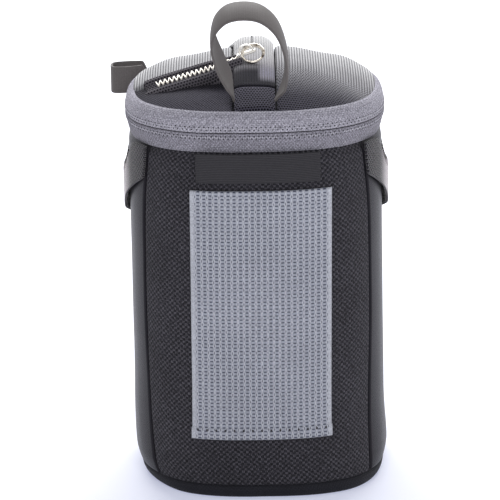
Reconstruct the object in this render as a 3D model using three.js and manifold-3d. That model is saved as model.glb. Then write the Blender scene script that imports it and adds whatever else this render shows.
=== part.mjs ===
// A padded lens pouch with a zipped lid, in millimetres.
// +Z is up, the front faces -Y, and the origin is the middle of the base on the ground.
import * as THREE from 'three';
import { mergeVertices } from 'three/addons/utils/BufferGeometryUtils.js';
import Module from 'manifold-3d';

// Body plan and wall build-up.
const planExponent = 2.6;
const bodyHalfWidth = 52.5;
const bodyHalfDepth = 52.5;
const bellyGain = 1.2;
const bellyHeight = 55;
const baseRadius = 9;
const panelLift = 0.4;
const panelThickness = 1.2;
const paddingThickness = 5.2;
const liningThickness = 0.8;
const seatGap = 0.3;
const panelTuck = 1.5;
const basePaddingThickness = 5.3;

// Rim band, which is the zip between body and lid.
const zipHeight = 156.5;
const bandHeight = 17;
const bandBulge = 2.3;
const tapeThickness = 1;
const coilHeight = 1.3;
const coilWidth = 1.6;
// Lower tape: shares of the bulge and of the tape's height, upwards.
const lowerTapeShares = [[0.8, 0.36], [1, 0.74], [1, 1]];
// Upper tape: shares of the bulge, of the inward roll and of the tape's height.
const upperOuterShares = [[1, 0, 0], [1, 0, 0.3], [0.68, 0, 0.62], [1, 0.55, 0.86], [1, 1.1, 1]];
const upperInnerShares = [[1, 0.5, 0.78], [0.68, 0, 0.54], [1, 0, 0.3], [1, 0, 0]];
const upperLipShare = 1.35;

// Lid dome, with a sunken front left piece before the pocket zip.
const domeInset = 2.1;
const domeTuck = 1.6;
const domeRise = 14.2;
const domePower = 2.2;
const pocketSink = 6;
const zipSink = 1;
const coverThickness = 1.6;
const stripWidth = 16.8;
const stripBackRise = 5;
const stripCrown = 1;
const stripCrownPower = 4;
const stripSwellPower = 6;
const stripSwellShare = 0.85;
const stripStartShare = 0.08;
const stripBackShare = 1.3;
const stripAcrossShares = [-1, -0.86, -0.5, 0, 0.5, 0.86, 1];
const stripSplitShare = -0.676;
const stripSplitGap = 1;
const lidLiningThickness = 1.2;
const lidLiningInset = 3.4;
const pocketBagThickness = 1;

// Pocket zip on the left of the lid.
const pocketZipY = -12;
const pocketRidgeWidth = 11.6;
const pocketRidgeRise = 2.8;
const pocketNose = 2.4;
const pocketLap = 1.4;
const pocketGrooveDepth = 1.6;
const pocketGrooveWidth = 6.6;
const pocketShoulderShare = 0.8;
const pocketZipLength = 37;
const pocketZipEnd = -3;
const pocketZipSlope = 16;
const toothPitch = 2.4;
const toothReach = 1.9;
const toothWaistShare = 0.35;
const toothFromShare = 0.25;
const toothToShare = 0.75;
const chainThickness = 0.8;
const pocketSliderLength = 8.4;
const pocketSliderWidth = 5.2;
const pocketSliderPlate = 0.9;
const sliderTailShare = 0.3;
const sliderEyeLength = 4.8;
const sliderEyeHeight = 2.3;
const sliderEyeBar = 0.8;
const sliderEyeSeat = 1.5;
const ringRadius = 4.4;
const ringWire = 0.9;
const ringTurn = 44;
const ringDroop = 12;

// Rim zip slider and its ribbon pull.
const rimSliderAngle = 133;
const rimSliderLength = 10;
const rimSliderHeight = 7.6;
const rimSliderThickness = 2.2;
const rimSliderTailShare = 0.6;
const rimBridgeShare = 0.6;
const rimBridgeReach = 3.4;
const rimBridgeHeight = 3.4;
const rimBridgeBar = 1.2;
const rimPullLength = 15.5;
const rimPullWidth = 11.4;
const rimPullSpread = 8;
const rimPullPinch = 2.6;
const rimPullStandShare = 0.06;
// The pull's outline: shares of its length and of its spread.
const rimPullShares = [
  [0, 0.12], [0.16, 0.42], [0.4, 0.5], [0.7, 0.5], [0.88, 0.46], [0.98, 0.24],
  [0.98, -0.24], [0.88, -0.46], [0.7, -0.5], [0.4, -0.5], [0.16, -0.42], [0, -0.12],
];

// Grab loop on the lid.
const ribbonThickness = 1;
const grabRibbonWidth = 12.5;
const grabRootWidth = 2.2;
const grabRootTaper = 9;
const grabLean = 24;
const grabHeight = 44.6;
const grabHalfWidth = 14.7;
const grabShift = 1.7;
const grabRootX = 8.4;
const grabRootInset = 6.4;
const grabRootGap = 0.9;
// The loop's outline between its roots: shares of its half width and of its height.
const grabShares = [
  [-0.56, 0.2], [-0.8, 0.42], [-1, 0.68], [-0.93, 0.84], [-0.62, 0.965], [-0.16, 1],
  [0.3, 0.965], [0.68, 0.84], [0.9, 0.66], [1, 0.44], [0.95, 0.2],
];

// Trim on the body.
const patchHalfWidth = 28.4;
const patchDrop = 15.7;
const patchLength = 106.1;
const patchThickness = 1.7;
const patchHem = 5;
const patchHemThickness = 0.6;
const labelHalfWidth = 24.8;
const labelHeight = 12.6;
const labelThickness = 0.8;
const seamAngle = 35.7;
const loopThickness = 1.2;
const loopStandOff = 1.7;
const loopTopDip = 14.5;
const loopFrontDrop = 13.6;
const loopSideDrop = 31;
const loopBackDrop = 42;
const loopMiddleShare = 0.5;
const hingeTapeWidth = 44;
const hingeTapeHeight = 12;
const hingeTapeThickness = 0.6;
const hingeTapeGap = 0.35;
const beltLoopWidth = 40;
const beltLoopLength = 92;
const beltLoopDrop = 12;
const beltLoopTab = 9;
const beltLoopRamp = 8;
const beltLoopGap = 6.2;
const beltLoopThickness = 2;

// Mesh fineness.
const planSteps = 60;
const filletSteps = 5;
const domeSteps = 6;
const ringSides = 8;
const ringSteps = 20;
const loopSteps = 14;
const smallShare = 0.1;
const wallShares = [0, 0.14, 0.32, 0.6, 1];

const wasm = await Module();
wasm.setup();

const fullTurn = Math.PI * 2;
const toRadians = Math.PI / 180;
const arcTop = panelLift + baseRadius;
const lowerTapeTop = zipHeight - seatGap / 2;
const upperTapeBottom = zipHeight + seatGap / 2;
const bandBottom = zipHeight - bandHeight / 2;
const bandTop = zipHeight + bandHeight / 2;
const paddingOffset = panelThickness + seatGap;
const liningOffset = paddingOffset + paddingThickness + seatGap;
const panelTopHeight = bandBottom + panelTuck;
const wallTopHeight = lowerTapeTop - coilHeight - seatGap;
const basePaddingTop = panelLift + paddingOffset + basePaddingThickness;
const depthRatio = bodyHalfDepth / bodyHalfWidth;
const domeHalfWidth = bodyHalfWidth - domeInset;
const domeEdgeHeight = bandTop - domeTuck;
const domeTopHeight = domeEdgeHeight + domeRise;
const coverFar = bodyHalfWidth + bodyHalfDepth;
const pocketSeamY = pocketZipY + pocketRidgeWidth / 2 - pocketLap;

function planPoint(angle, halfX, halfY) {
  const across = Math.abs(Math.cos(angle) / halfX) ** planExponent;
  const along = Math.abs(Math.sin(angle) / halfY) ** planExponent;
  const radius = (across + along) ** (-1 / planExponent);
  return [radius * Math.cos(angle), radius * Math.sin(angle)];
}

// The point of the plan, shrunk by an inset, at an angle.
function insetPoint(angle, inset) {
  const half = bodyHalfWidth - inset;
  return planPoint(angle, half, half * depthRatio);
}

// The plan angle at which a line a given distance off the centre meets the front wall.
function frontAngle(distance) {
  const share = 1 - (distance / bodyHalfWidth) ** planExponent;
  return Math.atan2(bodyHalfDepth * share ** (1 / planExponent), distance);
}

function solidFromTriangles(positions, triangles) {
  let volume = 0;
  const corner = [new THREE.Vector3(), new THREE.Vector3(), new THREE.Vector3()];
  for (let at = 0; at < triangles.length; at += corner.length) {
    corner.forEach((point, side) => point.fromArray(positions, triangles[at + side] * corner.length));
    volume += corner[0].dot(corner[1].clone().cross(corner[2]));
  }
  const order = volume < 0 ? [...triangles].reverse() : triangles;
  const geometry = new THREE.BufferGeometry();
  geometry.setAttribute('position', new THREE.Float32BufferAttribute(positions, 3));
  geometry.setIndex(order);
  return geometry;
}

// Sweeps a section of [inset, height] points round the plan.
// A full turn whose section starts and ends on the axis closes there; an unfinished turn gets two end faces.
function planSweep(section, startAngle = 0, endAngle = fullTurn) {
  const whole = Math.abs(endAngle - startAngle - fullTurn) < 1 / planSteps;
  const share = (endAngle - startAngle) / fullTurn;
  const steps = whole ? planSteps : Math.max(2, Math.round(planSteps * share));
  const rings = whole ? steps : steps + 1;
  const positions = [];
  const rows = [];
  for (const [inset, height] of section) {
    const onAxis = bodyHalfWidth - inset <= seatGap;
    const row = [];
    for (let ring = 0; ring < rings; ring += 1) {
      if (onAxis && ring > 0) {
        row.push(row[0]);
        continue;
      }
      const angle = startAngle + (endAngle - startAngle) * (ring / steps);
      const [x, y] = onAxis ? [0, 0] : insetPoint(angle, inset);
      row.push(positions.length / 3);
      positions.push(x, y, height);
    }
    rows.push(row);
  }
  const polar = section[0][0] >= bodyHalfWidth - seatGap;
  const triangles = [];
  const lastRow = polar ? rows.length - 1 : rows.length;
  for (let at = 0; at < lastRow; at += 1) {
    const low = rows[at];
    const high = rows[(at + 1) % rows.length];
    for (let step = 0; step < steps; step += 1) {
      const next = (step + 1) % rings;
      if (low[step] !== low[next]) triangles.push(low[step], low[next], high[next]);
      if (high[step] !== high[next]) triangles.push(low[step], high[next], high[step]);
    }
  }
  if (!whole) {
    const outline = section.map(([inset, height]) => new THREE.Vector2(inset, height));
    const turned = THREE.ShapeUtils.isClockWise(outline);
    for (const face of THREE.ShapeUtils.triangulateShape(outline, [])) {
      const start = face.map((at) => rows[at][0]);
      const end = face.map((at) => rows[at][rings - 1]);
      triangles.push(...(turned ? start : [...start].reverse()));
      triangles.push(...(turned ? [...end].reverse() : end));
    }
  }
  return solidFromTriangles(positions, fixWinding(triangles));
}

// Turns neighbouring triangles the same way, starting from the first.
function fixWinding(triangles) {
  const faces = [];
  const faceSides = 3;
  for (let at = 0; at < triangles.length; at += faceSides) faces.push(triangles.slice(at, at + faceSides));
  const byEdge = new Map();
  faces.forEach((face, index) => {
    face.forEach((from, side) => {
      const to = face[(side + 1) % faceSides];
      const key = from < to ? `${from}_${to}` : `${to}_${from}`;
      if (!byEdge.has(key)) byEdge.set(key, []);
      byEdge.get(key).push(index);
    });
  });
  const done = new Set([0]);
  const queue = [0];
  while (queue.length > 0) {
    const index = queue.pop();
    const face = faces[index];
    face.forEach((from, side) => {
      const to = face[(side + 1) % faceSides];
      const key = from < to ? `${from}_${to}` : `${to}_${from}`;
      for (const other of byEdge.get(key)) {
        if (done.has(other)) continue;
        const next = faces[other];
        const same = next.some((start, turn) => start === from && next[(turn + 1) % faceSides] === to);
        if (same) next.reverse();
        done.add(other);
        queue.push(other);
      }
    });
  }
  return faces.flat();
}

// Lofts four-cornered sections one after another and closes both ends, or joins them in a ring.
function quadLoft(sections, ring = false) {
  const positions = sections.flat().flatMap((point) => point.toArray());
  const triangles = [];
  const corners = sections[0].length;
  const last = ring ? sections.length : sections.length - 1;
  for (let at = 0; at < last; at += 1) {
    const next = (at + 1) % sections.length;
    for (let side = 0; side < corners; side += 1) {
      const a = at * corners + side;
      const b = at * corners + ((side + 1) % corners);
      const c = next * corners + ((side + 1) % corners);
      const d = next * corners + side;
      triangles.push(a, b, c, a, c, d);
    }
  }
  if (!ring) {
    const end = (sections.length - 1) * corners;
    for (let side = 1; side < corners - 1; side += 1) {
      triangles.push(0, side + 1, side);
      triangles.push(end, end + side, end + side + 1);
    }
  }
  return solidFromTriangles(positions, triangles);
}

// A flat ribbon along a path: each station has a centre, a width direction and a half width.
function ribbonSolid(stations, thickness, ring = false) {
  const count = stations.length;
  const sections = stations.map((station, at) => {
    const before = stations[ring ? (at + count - 1) % count : Math.max(at - 1, 0)].centre;
    const after = stations[ring ? (at + 1) % count : Math.min(at + 1, count - 1)].centre;
    const along = after.clone().sub(before).normalize();
    const face = along.clone().cross(station.across).normalize();
    const side = station.across.clone().multiplyScalar(station.halfWidth);
    const lift = face.multiplyScalar(thickness / 2);
    return [
      station.centre.clone().add(side).add(lift),
      station.centre.clone().sub(side).add(lift),
      station.centre.clone().sub(side).sub(lift),
      station.centre.clone().add(side).sub(lift),
    ];
  });
  return quadLoft(sections, ring);
}

function toManifold(geometry) {
  const bare = geometry.clone();
  bare.deleteAttribute('normal');
  bare.deleteAttribute('uv');
  const merged = mergeVertices(bare);
  return new wasm.Manifold(new wasm.Mesh({
    numProp: 3,
    vertProperties: new Float32Array(merged.attributes.position.array),
    triVerts: new Uint32Array(merged.index.array),
  }));
}

function fromManifold(manifold) {
  const mesh = manifold.getMesh();
  const geometry = new THREE.BufferGeometry();
  geometry.setAttribute('position', new THREE.Float32BufferAttribute([...mesh.vertProperties], 3));
  geometry.setIndex([...mesh.triVerts]);
  return geometry;
}

function joined(...geometries) {
  return fromManifold(geometries.map(toManifold).reduce((sum, next) => sum.add(next)));
}

function cut(geometry, ...tools) {
  const whole = toManifold(geometry);
  return fromManifold(tools.map(toManifold).reduce((rest, tool) => rest.subtract(tool), whole));
}

function common(geometry, tool) {
  return fromManifold(toManifold(geometry).intersect(toManifold(tool)));
}

function block(fromX, toX, fromY, toY, fromZ, toZ) {
  const geometry = new THREE.BoxGeometry(toX - fromX, toY - fromY, toZ - fromZ);
  geometry.translate((fromX + toX) / 2, (fromY + toY) / 2, (fromZ + toZ) / 2);
  return geometry;
}

// Body walls. The wall leans out a little towards the base and rounds in at its foot.
function bellyAt(height) {
  const share = Math.max(0, 1 - height / bellyHeight);
  return bellyGain * share * share;
}

function insetAt(offset, height) {
  const radius = baseRadius - offset;
  const below = Math.min(Math.max(arcTop - height, 0), radius);
  const arc = baseRadius - Math.sqrt(radius * radius - below * below);
  return arc - bellyAt(height);
}

function wallHeights(offset, lowest, highest) {
  const radius = baseRadius - offset;
  const heights = [];
  for (let step = 0; step <= filletSteps; step += 1) {
    heights.push(arcTop - radius * Math.cos((step / filletSteps) * (Math.PI / 2)));
  }
  for (const share of wallShares) heights.push(arcTop + share * (highest - arcTop));
  const within = heights.filter((height) => height > lowest + seatGap && height < highest - seatGap);
  return [lowest, ...within, highest];
}

function wallLine(offset, lowest, highest) {
  return wallHeights(offset, lowest, highest).map((height) => [insetAt(offset, height), height]);
}

// A layer between two distances inside the outer surface.
function layerSection(outer, inner, lowest, highest) {
  const innerLowest = Math.max(lowest, arcTop - (baseRadius - inner));
  return [...wallLine(outer, lowest, highest), ...wallLine(inner, innerLowest, highest).reverse()];
}

function panelSolid(startDegrees, endDegrees) {
  const gapAngle = seatGap / bodyHalfWidth / 2;
  const start = startDegrees * toRadians + gapAngle;
  const end = endDegrees * toRadians - gapAngle;
  return planSweep(layerSection(0, panelThickness, panelLift, panelTopHeight), start, end);
}

function basePanelSolid() {
  const edge = baseRadius + seatGap;
  return planSweep([
    [bodyHalfWidth, 0],
    [edge + panelLift, 0],
    [edge, panelLift],
    [edge, panelThickness],
    [bodyHalfWidth, panelThickness],
  ]);
}

function wallPaddingSolid() {
  const inner = paddingOffset + paddingThickness;
  return planSweep(layerSection(paddingOffset, inner, basePaddingTop + seatGap, wallTopHeight));
}

function basePaddingSolid() {
  const floor = panelLift + paddingOffset;
  const side = wallLine(paddingOffset, floor, basePaddingTop);
  return planSweep([[bodyHalfWidth, floor], ...side, [bodyHalfWidth, basePaddingTop]]);
}

function liningSolid() {
  const floor = basePaddingTop + seatGap;
  const inner = liningOffset + liningThickness;
  return planSweep([
    [bodyHalfWidth, floor],
    [liningOffset + liningThickness, floor],
    [liningOffset, floor + liningThickness],
    [liningOffset, wallTopHeight],
    [inner, wallTopHeight],
    [inner, floor + liningThickness + liningThickness],
    [inner + liningThickness, floor + liningThickness],
    [bodyHalfWidth, floor + liningThickness],
  ]);
}

// Rim band tapes, bulging past the body, with the lid's tape rolling in at its top.
function lowerTapeSolid() {
  const height = lowerTapeTop - bandBottom;
  const outer = [[-tapeThickness - seatGap, bandBottom]];
  for (const [bulge, rise] of lowerTapeShares) {
    outer.push([-bandBulge * bulge, bandBottom + height * rise]);
  }
  const inner = outer.map(([inset, level]) => [inset + tapeThickness, level]);
  return planSweep([...outer, ...inner.reverse()]);
}

function upperTapeSolid() {
  const height = bandTop - upperTapeBottom;
  const roll = bandBulge + tapeThickness;
  const line = (shares, thickness) => shares.map(([bulge, inward, rise]) => [
    -bandBulge * bulge + roll * inward + thickness, upperTapeBottom + height * rise,
  ]);
  const lip = [-bandBulge + roll * upperLipShare, bandTop - tapeThickness];
  return planSweep([...line(upperOuterShares, 0), lip, ...line(upperInnerShares, tapeThickness)]);
}

function coilSolid(lowest) {
  const outer = -bandBulge + tapeThickness + seatGap;
  return planSweep([
    [outer, lowest],
    [outer, lowest + coilHeight],
    [outer + coilWidth, lowest + coilHeight],
    [outer + coilWidth, lowest],
  ]);
}

// Lid dome. Its height falls with a power of the distance from the middle.
function domeHeight(half, drop, sink = 0) {
  const share = Math.min(half / domeHalfWidth, 1) ** domePower;
  return domeTopHeight - sink - (domeRise - sink) * share - drop;
}

function domeHeightAt(x, y) {
  const across = Math.abs(x) ** planExponent;
  const along = Math.abs(y / depthRatio) ** planExponent;
  return domeHeight((across + along) ** (1 / planExponent), 0);
}

function domeLine(edgeHalf, drop, sink = 0) {
  const line = [];
  for (let step = 0; step <= domeSteps; step += 1) {
    const half = edgeHalf * Math.sin((step / domeSteps) * (Math.PI / 2));
    line.push([bodyHalfWidth - half, domeHeight(half, drop, sink)]);
  }
  return line;
}

function domeBody(edgeHalf, drop, floor, sink = 0) {
  const line = domeLine(edgeHalf, drop, sink);
  return planSweep([...line, [bodyHalfWidth - edgeHalf, floor], [bodyHalfWidth, floor]]);
}

function coverShell(sink = 0) {
  const outer = domeLine(domeHalfWidth, 0, sink);
  const inner = domeLine(domeHalfWidth, coverThickness, sink).reverse();
  return planSweep([...outer, ...inner]);
}

const stripEdge = stripWidth / 2 + seatGap;
const lidCeiling = domeTopHeight + bandHeight;

function rightCoverSolid() {
  return common(coverShell(), block(stripEdge, coverFar, -coverFar, coverFar, 0, lidCeiling));
}

function leftRearCoverSolid() {
  const nearY = pocketSeamY + seatGap / 2;
  return common(coverShell(zipSink), block(-coverFar, -stripEdge, nearY, coverFar, 0, lidCeiling));
}

function leftFrontCoverSolid() {
  const nearY = pocketSeamY - seatGap / 2;
  return common(coverShell(pocketSink), block(-coverFar, -stripEdge, -coverFar, nearY, 0, lidCeiling));
}

// Where the strip is cut in two, towards the front.
function stripSplitAt() {
  return stripSplitShare * bodyHalfDepth;
}

// The strip over the lid is lofted front to back, with a crowned top that swells at the rear.
function stripSolid(fromY, toY, clearance = 0, depth = coverThickness) {
  const steps = Math.max(3, Math.round((domeSteps * 2 * (toY - fromY)) / (domeHalfWidth * 2)));
  const half = stripWidth / 2 + clearance;
  const sections = [];
  for (let step = 0; step <= steps; step += 1) {
    const y = fromY + ((toY - fromY) * step) / steps;
    const backShare = Math.max(0, y / (domeHalfWidth * depthRatio));
    const turn = Math.min(backShare * stripBackShare + stripStartShare, 1) * Math.PI;
    const rise = stripBackRise * Math.sin(turn);
    const swell = y > 0 ? rise : rise * Math.max(0, 1 + (y * 2) / stripWidth);
    const top = stripAcrossShares.map((share) => {
      const x = share * half;
      const swelling = 1 - share ** stripSwellPower * stripSwellShare;
      const crown = stripCrown * (1 - share ** stripCrownPower) + swell * swelling;
      return new THREE.Vector3(x, y, domeHeightAt(x, y) + crown + clearance);
    });
    const bottom = [half, -half].map((x) => new THREE.Vector3(x, y, domeHeightAt(half, y) - depth));
    sections.push([...top, ...bottom]);
  }
  return quadLoft(sections);
}

function stripReach() {
  return (domeHalfWidth - seatGap - coverThickness) * depthRatio;
}

function rearStripSolid() {
  return stripSolid(stripSplitAt() + stripSplitGap / 2, stripReach());
}

function frontStripSolid() {
  return stripSolid(-stripReach(), stripSplitAt() - stripSplitGap / 2);
}

function lidPaddingSolid() {
  const floor = upperTapeBottom + lidLiningThickness + seatGap;
  const edge = domeHalfWidth - lidLiningInset;
  const drop = coverThickness + seatGap + pocketBagThickness + seatGap;
  const sideX = -stripEdge + seatGap;
  const nearY = pocketSeamY + seatGap;
  const frontCorner = block(-coverFar, sideX, -coverFar, nearY, 0, lidCeiling);
  const rearCorner = block(-coverFar, sideX, nearY, coverFar, 0, lidCeiling);
  const front = common(domeBody(edge, coverThickness + seatGap, floor, pocketSink), frontCorner);
  const rear = common(domeBody(edge, drop, floor, zipSink), rearCorner);
  return joined(cut(domeBody(edge, drop, floor), frontCorner, rearCorner), front, rear);
}

function lidLiningSolid() {
  const edge = bodyHalfWidth - lidLiningInset;
  return planSweep([
    [bodyHalfWidth, upperTapeBottom],
    [bodyHalfWidth - edge, upperTapeBottom],
    [bodyHalfWidth - edge, upperTapeBottom + lidLiningThickness],
    [bodyHalfWidth, upperTapeBottom + lidLiningThickness],
  ]);
}

function pocketBagSolid() {
  const drop = coverThickness + seatGap;
  const edge = domeHalfWidth - lidLiningInset;
  const outer = domeLine(edge, drop, zipSink);
  const inner = domeLine(edge, drop + pocketBagThickness, zipSink).reverse();
  const nearY = pocketSeamY + seatGap + seatGap;
  const rear = block(-coverFar, -stripEdge, nearY, coverFar, 0, lidCeiling);
  return common(planSweep([...outer, ...inner]), rear);
}

// The pocket zip runs straight down the left of the dome. Its own frame has the zip along X.
const pocketTop = domeTopHeight + pocketRidgeRise;
const pocketFrame = new THREE.Matrix4()
  .makeTranslation(pocketZipEnd, pocketZipY, pocketTop)
  .multiply(new THREE.Matrix4().makeRotationY(-pocketZipSlope * toRadians));

function pocketTapeSolid() {
  const half = pocketRidgeWidth / 2;
  const deep = domeRise;
  const groove = pocketGrooveWidth / 2;
  const shoulder = (half - groove) * pocketShoulderShare;
  const shape = new THREE.Shape();
  shape.moveTo(-half, -deep);
  shape.lineTo(-half, -shoulder);
  shape.quadraticCurveTo(-half, 0, -half + shoulder, 0);
  shape.lineTo(-groove, 0);
  shape.lineTo(-groove, -pocketGrooveDepth);
  shape.lineTo(groove, -pocketGrooveDepth);
  shape.lineTo(groove, 0);
  shape.lineTo(half - shoulder, 0);
  shape.quadraticCurveTo(half, 0, half, -shoulder);
  shape.lineTo(half, -deep);
  const length = pocketZipLength + toothPitch;
  const ridge = new THREE.ExtrudeGeometry(shape, {
    depth: length, bevelEnabled: false, steps: 1, curveSegments: filletSteps,
  });
  ridge.rotateX(Math.PI / 2);
  ridge.rotateZ(Math.PI / 2);
  ridge.translate(-length, 0, 0);
  ridge.applyMatrix4(pocketFrame);
  const clear = -seatGap;
  const front = block(-coverFar, coverFar, -coverFar, pocketSeamY, 0, lidCeiling);
  const rear = block(-coverFar, coverFar, pocketSeamY, coverFar, 0, lidCeiling);
  const underRear = common(domeBody(domeHalfWidth, clear, 0, zipSink), rear);
  const underFront = common(domeBody(domeHalfWidth, clear, 0, pocketSink), front);
  const strip = stripSolid(stripSplitAt(), stripReach(), seatGap, bandHeight);
  const noseX = pocketZipEnd - pocketNose;
  const beyond = block(noseX, coverFar, -coverFar, coverFar, 0, lidCeiling + lidCeiling);
  return cut(ridge, underRear, underFront, strip, beyond);
}

function pocketChainSolid() {
  const outline = [];
  const backs = [];
  const count = Math.floor(pocketZipLength / toothPitch);
  const start = -pocketNose;
  for (let tooth = 0; tooth < count; tooth += 1) {
    const side = tooth % 2 === 0 ? 1 : -1;
    const from = start - tooth * toothPitch;
    const waist = toothReach * toothWaistShare;
    const here = side > 0 ? outline : backs;
    const other = side > 0 ? backs : outline;
    here.push([from, side * waist], [from - toothPitch * toothFromShare, side * toothReach]);
    here.push([from - toothPitch * toothToShare, side * toothReach], [from - toothPitch, side * waist]);
    other.push([from, -side * waist], [from - toothPitch, -side * waist]);
  }
  const points = [...outline, ...backs.reverse()].map(([x, y]) => new THREE.Vector2(x, y));
  const least = seatGap * smallShare;
  const unique = points.filter((point, at) => at === 0 || point.distanceTo(points[at - 1]) > least);
  const geometry = new THREE.ExtrudeGeometry(new THREE.Shape(unique), {
    depth: chainThickness, bevelEnabled: false, steps: 1,
  });
  geometry.translate(0, 0, seatGap - pocketGrooveDepth);
  geometry.applyMatrix4(pocketFrame);
  return geometry;
}

const sliderFloor = seatGap + chainThickness + seatGap - pocketGrooveDepth;
const sliderTop = sliderFloor + pocketSliderPlate;
const eyeMiddle = sliderTop + sliderEyeSeat;

function pocketSliderSolid() {
  const half = pocketSliderWidth / 2;
  const narrow = pocketSliderWidth * sliderTailShare;
  const halfLength = pocketSliderLength / 2;
  const shape = new THREE.Shape();
  shape.moveTo(-halfLength, -narrow);
  shape.lineTo(halfLength - narrow, -half);
  shape.quadraticCurveTo(halfLength, -half, halfLength, 0);
  shape.quadraticCurveTo(halfLength, half, halfLength - narrow, half);
  shape.lineTo(-halfLength, narrow);
  const plate = new THREE.ExtrudeGeometry(shape, {
    depth: pocketSliderPlate, bevelEnabled: false, steps: 1, curveSegments: filletSteps,
  });
  plate.translate(0, 0, sliderFloor);
  const eyeHalf = sliderEyeLength / 2;
  const archHalf = eyeHalf + sliderEyeBar;
  const halfBar = sliderEyeBar / 2;
  const archTop = sliderTop + sliderEyeHeight + sliderEyeBar;
  const arch = block(-archHalf, archHalf, -halfBar, halfBar, sliderTop - seatGap, archTop);
  const eye = block(-eyeHalf, eyeHalf, -half, half, sliderTop, sliderTop + sliderEyeHeight);
  const geometry = joined(plate, cut(arch, eye));
  geometry.applyMatrix4(pocketFrame);
  return geometry;
}

// The wire ring threads the slider's eye and lies towards the front right, drooping a little.
function sliderRingSolid() {
  const geometry = new THREE.TorusGeometry(ringRadius, ringWire / 2, ringSides, ringSteps);
  geometry.translate(ringRadius, 0, 0);
  geometry.rotateY(ringDroop * toRadians);
  geometry.rotateZ(-ringTurn * toRadians);
  geometry.translate(0, 0, eyeMiddle);
  geometry.applyMatrix4(pocketFrame);
  return mergeVertices(stripped(geometry));
}

function stripped(geometry) {
  geometry.deleteAttribute('normal');
  geometry.deleteAttribute('uv');
  return geometry;
}

// How far the band reaches out in one direction, anywhere along the slider's length.
function bandReach(direction) {
  const spread = rimSliderLength / bodyHalfWidth / 2;
  const reaches = [];
  for (let step = -filletSteps; step <= filletSteps; step += 1) {
    const angle = direction + (spread * step) / filletSteps;
    const [x, y] = insetPoint(angle, -bandBulge);
    reaches.push(x * Math.cos(direction) + y * Math.sin(direction));
  }
  return Math.max(...reaches);
}

// Rim slider: a plate outside the band with a bridge, square to the band at its corner.
const rimSliderTurn = rimSliderAngle * toRadians;
const rimRadius = bandReach(rimSliderTurn);
const rimFrame = new THREE.Matrix4()
  .makeRotationZ(rimSliderTurn)
  .multiply(new THREE.Matrix4().makeTranslation(rimRadius, 0, zipHeight));

function rimSliderSolid() {
  const halfLength = rimSliderLength / 2;
  const halfHeight = rimSliderHeight / 2;
  const shape = new THREE.Shape();
  shape.moveTo(-halfLength, -halfHeight * rimSliderTailShare);
  shape.lineTo(halfLength, -halfHeight);
  shape.lineTo(halfLength, halfHeight);
  shape.lineTo(-halfLength, halfHeight * rimSliderTailShare);
  const plate = new THREE.ExtrudeGeometry(shape, {
    depth: rimSliderThickness, bevelEnabled: false, steps: 1,
  });
  plate.rotateX(Math.PI / 2);
  plate.rotateZ(Math.PI / 2);
  const stand = seatGap;
  plate.translate(stand, 0, 0);
  const faceX = stand + rimSliderThickness;
  const halfBar = rimBridgeBar / 2;
  const long = rimSliderLength * rimBridgeShare;
  const bridge = block(
    faceX - seatGap, faceX + rimBridgeReach, -long / 2, long / 2, -halfBar, halfBar,
  );
  const eye = block(
    faceX, faceX + rimBridgeReach - rimBridgeBar,
    -long / 2 + rimBridgeBar, long / 2 - rimBridgeBar, -rimBridgeHeight, rimBridgeHeight,
  );
  const geometry = cut(joined(plate, bridge), eye);
  geometry.applyMatrix4(rimFrame);
  return geometry;
}

// The rim pull is one ribbon folded into a loop with its width upright.
function rimPullSolid() {
  const pinX = rimSliderThickness + seatGap + rimBridgeReach + seatGap + ribbonThickness;
  const anchor = new THREE.Vector3(pinX, 0, 0).applyMatrix4(rimFrame);
  const outward = new THREE.Vector3(-1, 0, 0);
  const sideways = new THREE.Vector3(-outward.y, outward.x, 0);
  const across = new THREE.Vector3(0, 0, 1);
  const stations = rimPullShares.map(([along, aside]) => ({
    centre: anchor.clone()
      .addScaledVector(outward, rimPullLength * along + rimSliderLength * rimPullStandShare)
      .addScaledVector(sideways, rimPullSpread * aside),
    across,
    halfWidth: along > 0 ? rimPullWidth / 2 : rimPullPinch,
  }));
  return ribbonSolid(stations, ribbonThickness, true);
}

// The grab loop stands on the lid's two strip seams and leans forward.
function grabLoopSolid() {
  const outline = grabShares.map(([aside, rise]) => (
    new THREE.Vector3(grabHalfWidth * aside - grabShift, grabHeight * rise, 0)
  ));
  const ends = [-grabRootX, grabRootX].map((x) => new THREE.Vector3(x, 0, 0));
  const curve = new THREE.CatmullRomCurve3([ends[0], ...outline, ends[1]]);
  const points = curve.getSpacedPoints(ringSteps + ringSteps);
  const lean = grabLean * toRadians;
  const up = new THREE.Vector3(0, -Math.sin(lean), Math.cos(lean));
  const across = new THREE.Vector3(0, Math.cos(lean), Math.sin(lean));
  const rootY = -domeHalfWidth * depthRatio + grabRootInset;
  const rootHeight = domeHeightAt(grabRootX, rootY) + grabRootGap;
  const root = new THREE.Vector3(0, rootY, rootHeight);
  const stations = points.map((point) => {
    const widened = Math.min(point.y / grabRootTaper, 1);
    return {
      centre: root.clone().addScaledVector(up, point.y).add(new THREE.Vector3(point.x, 0, 0)),
      across,
      halfWidth: (grabRootWidth + (grabRibbonWidth - grabRootWidth) * widened) / 2,
    };
  });
  return ribbonSolid(stations, ribbonThickness);
}

// Sewn-on trim.
function frontSkinSolid(halfWidth, inner, outer) {
  const angle = frontAngle(halfWidth);
  return planSweep([...outer, ...inner.reverse()], -Math.PI + angle, -angle);
}

function skinLine(heights, offset) {
  return heights.map((height) => [-offset - bellyAt(height), height]);
}

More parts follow.
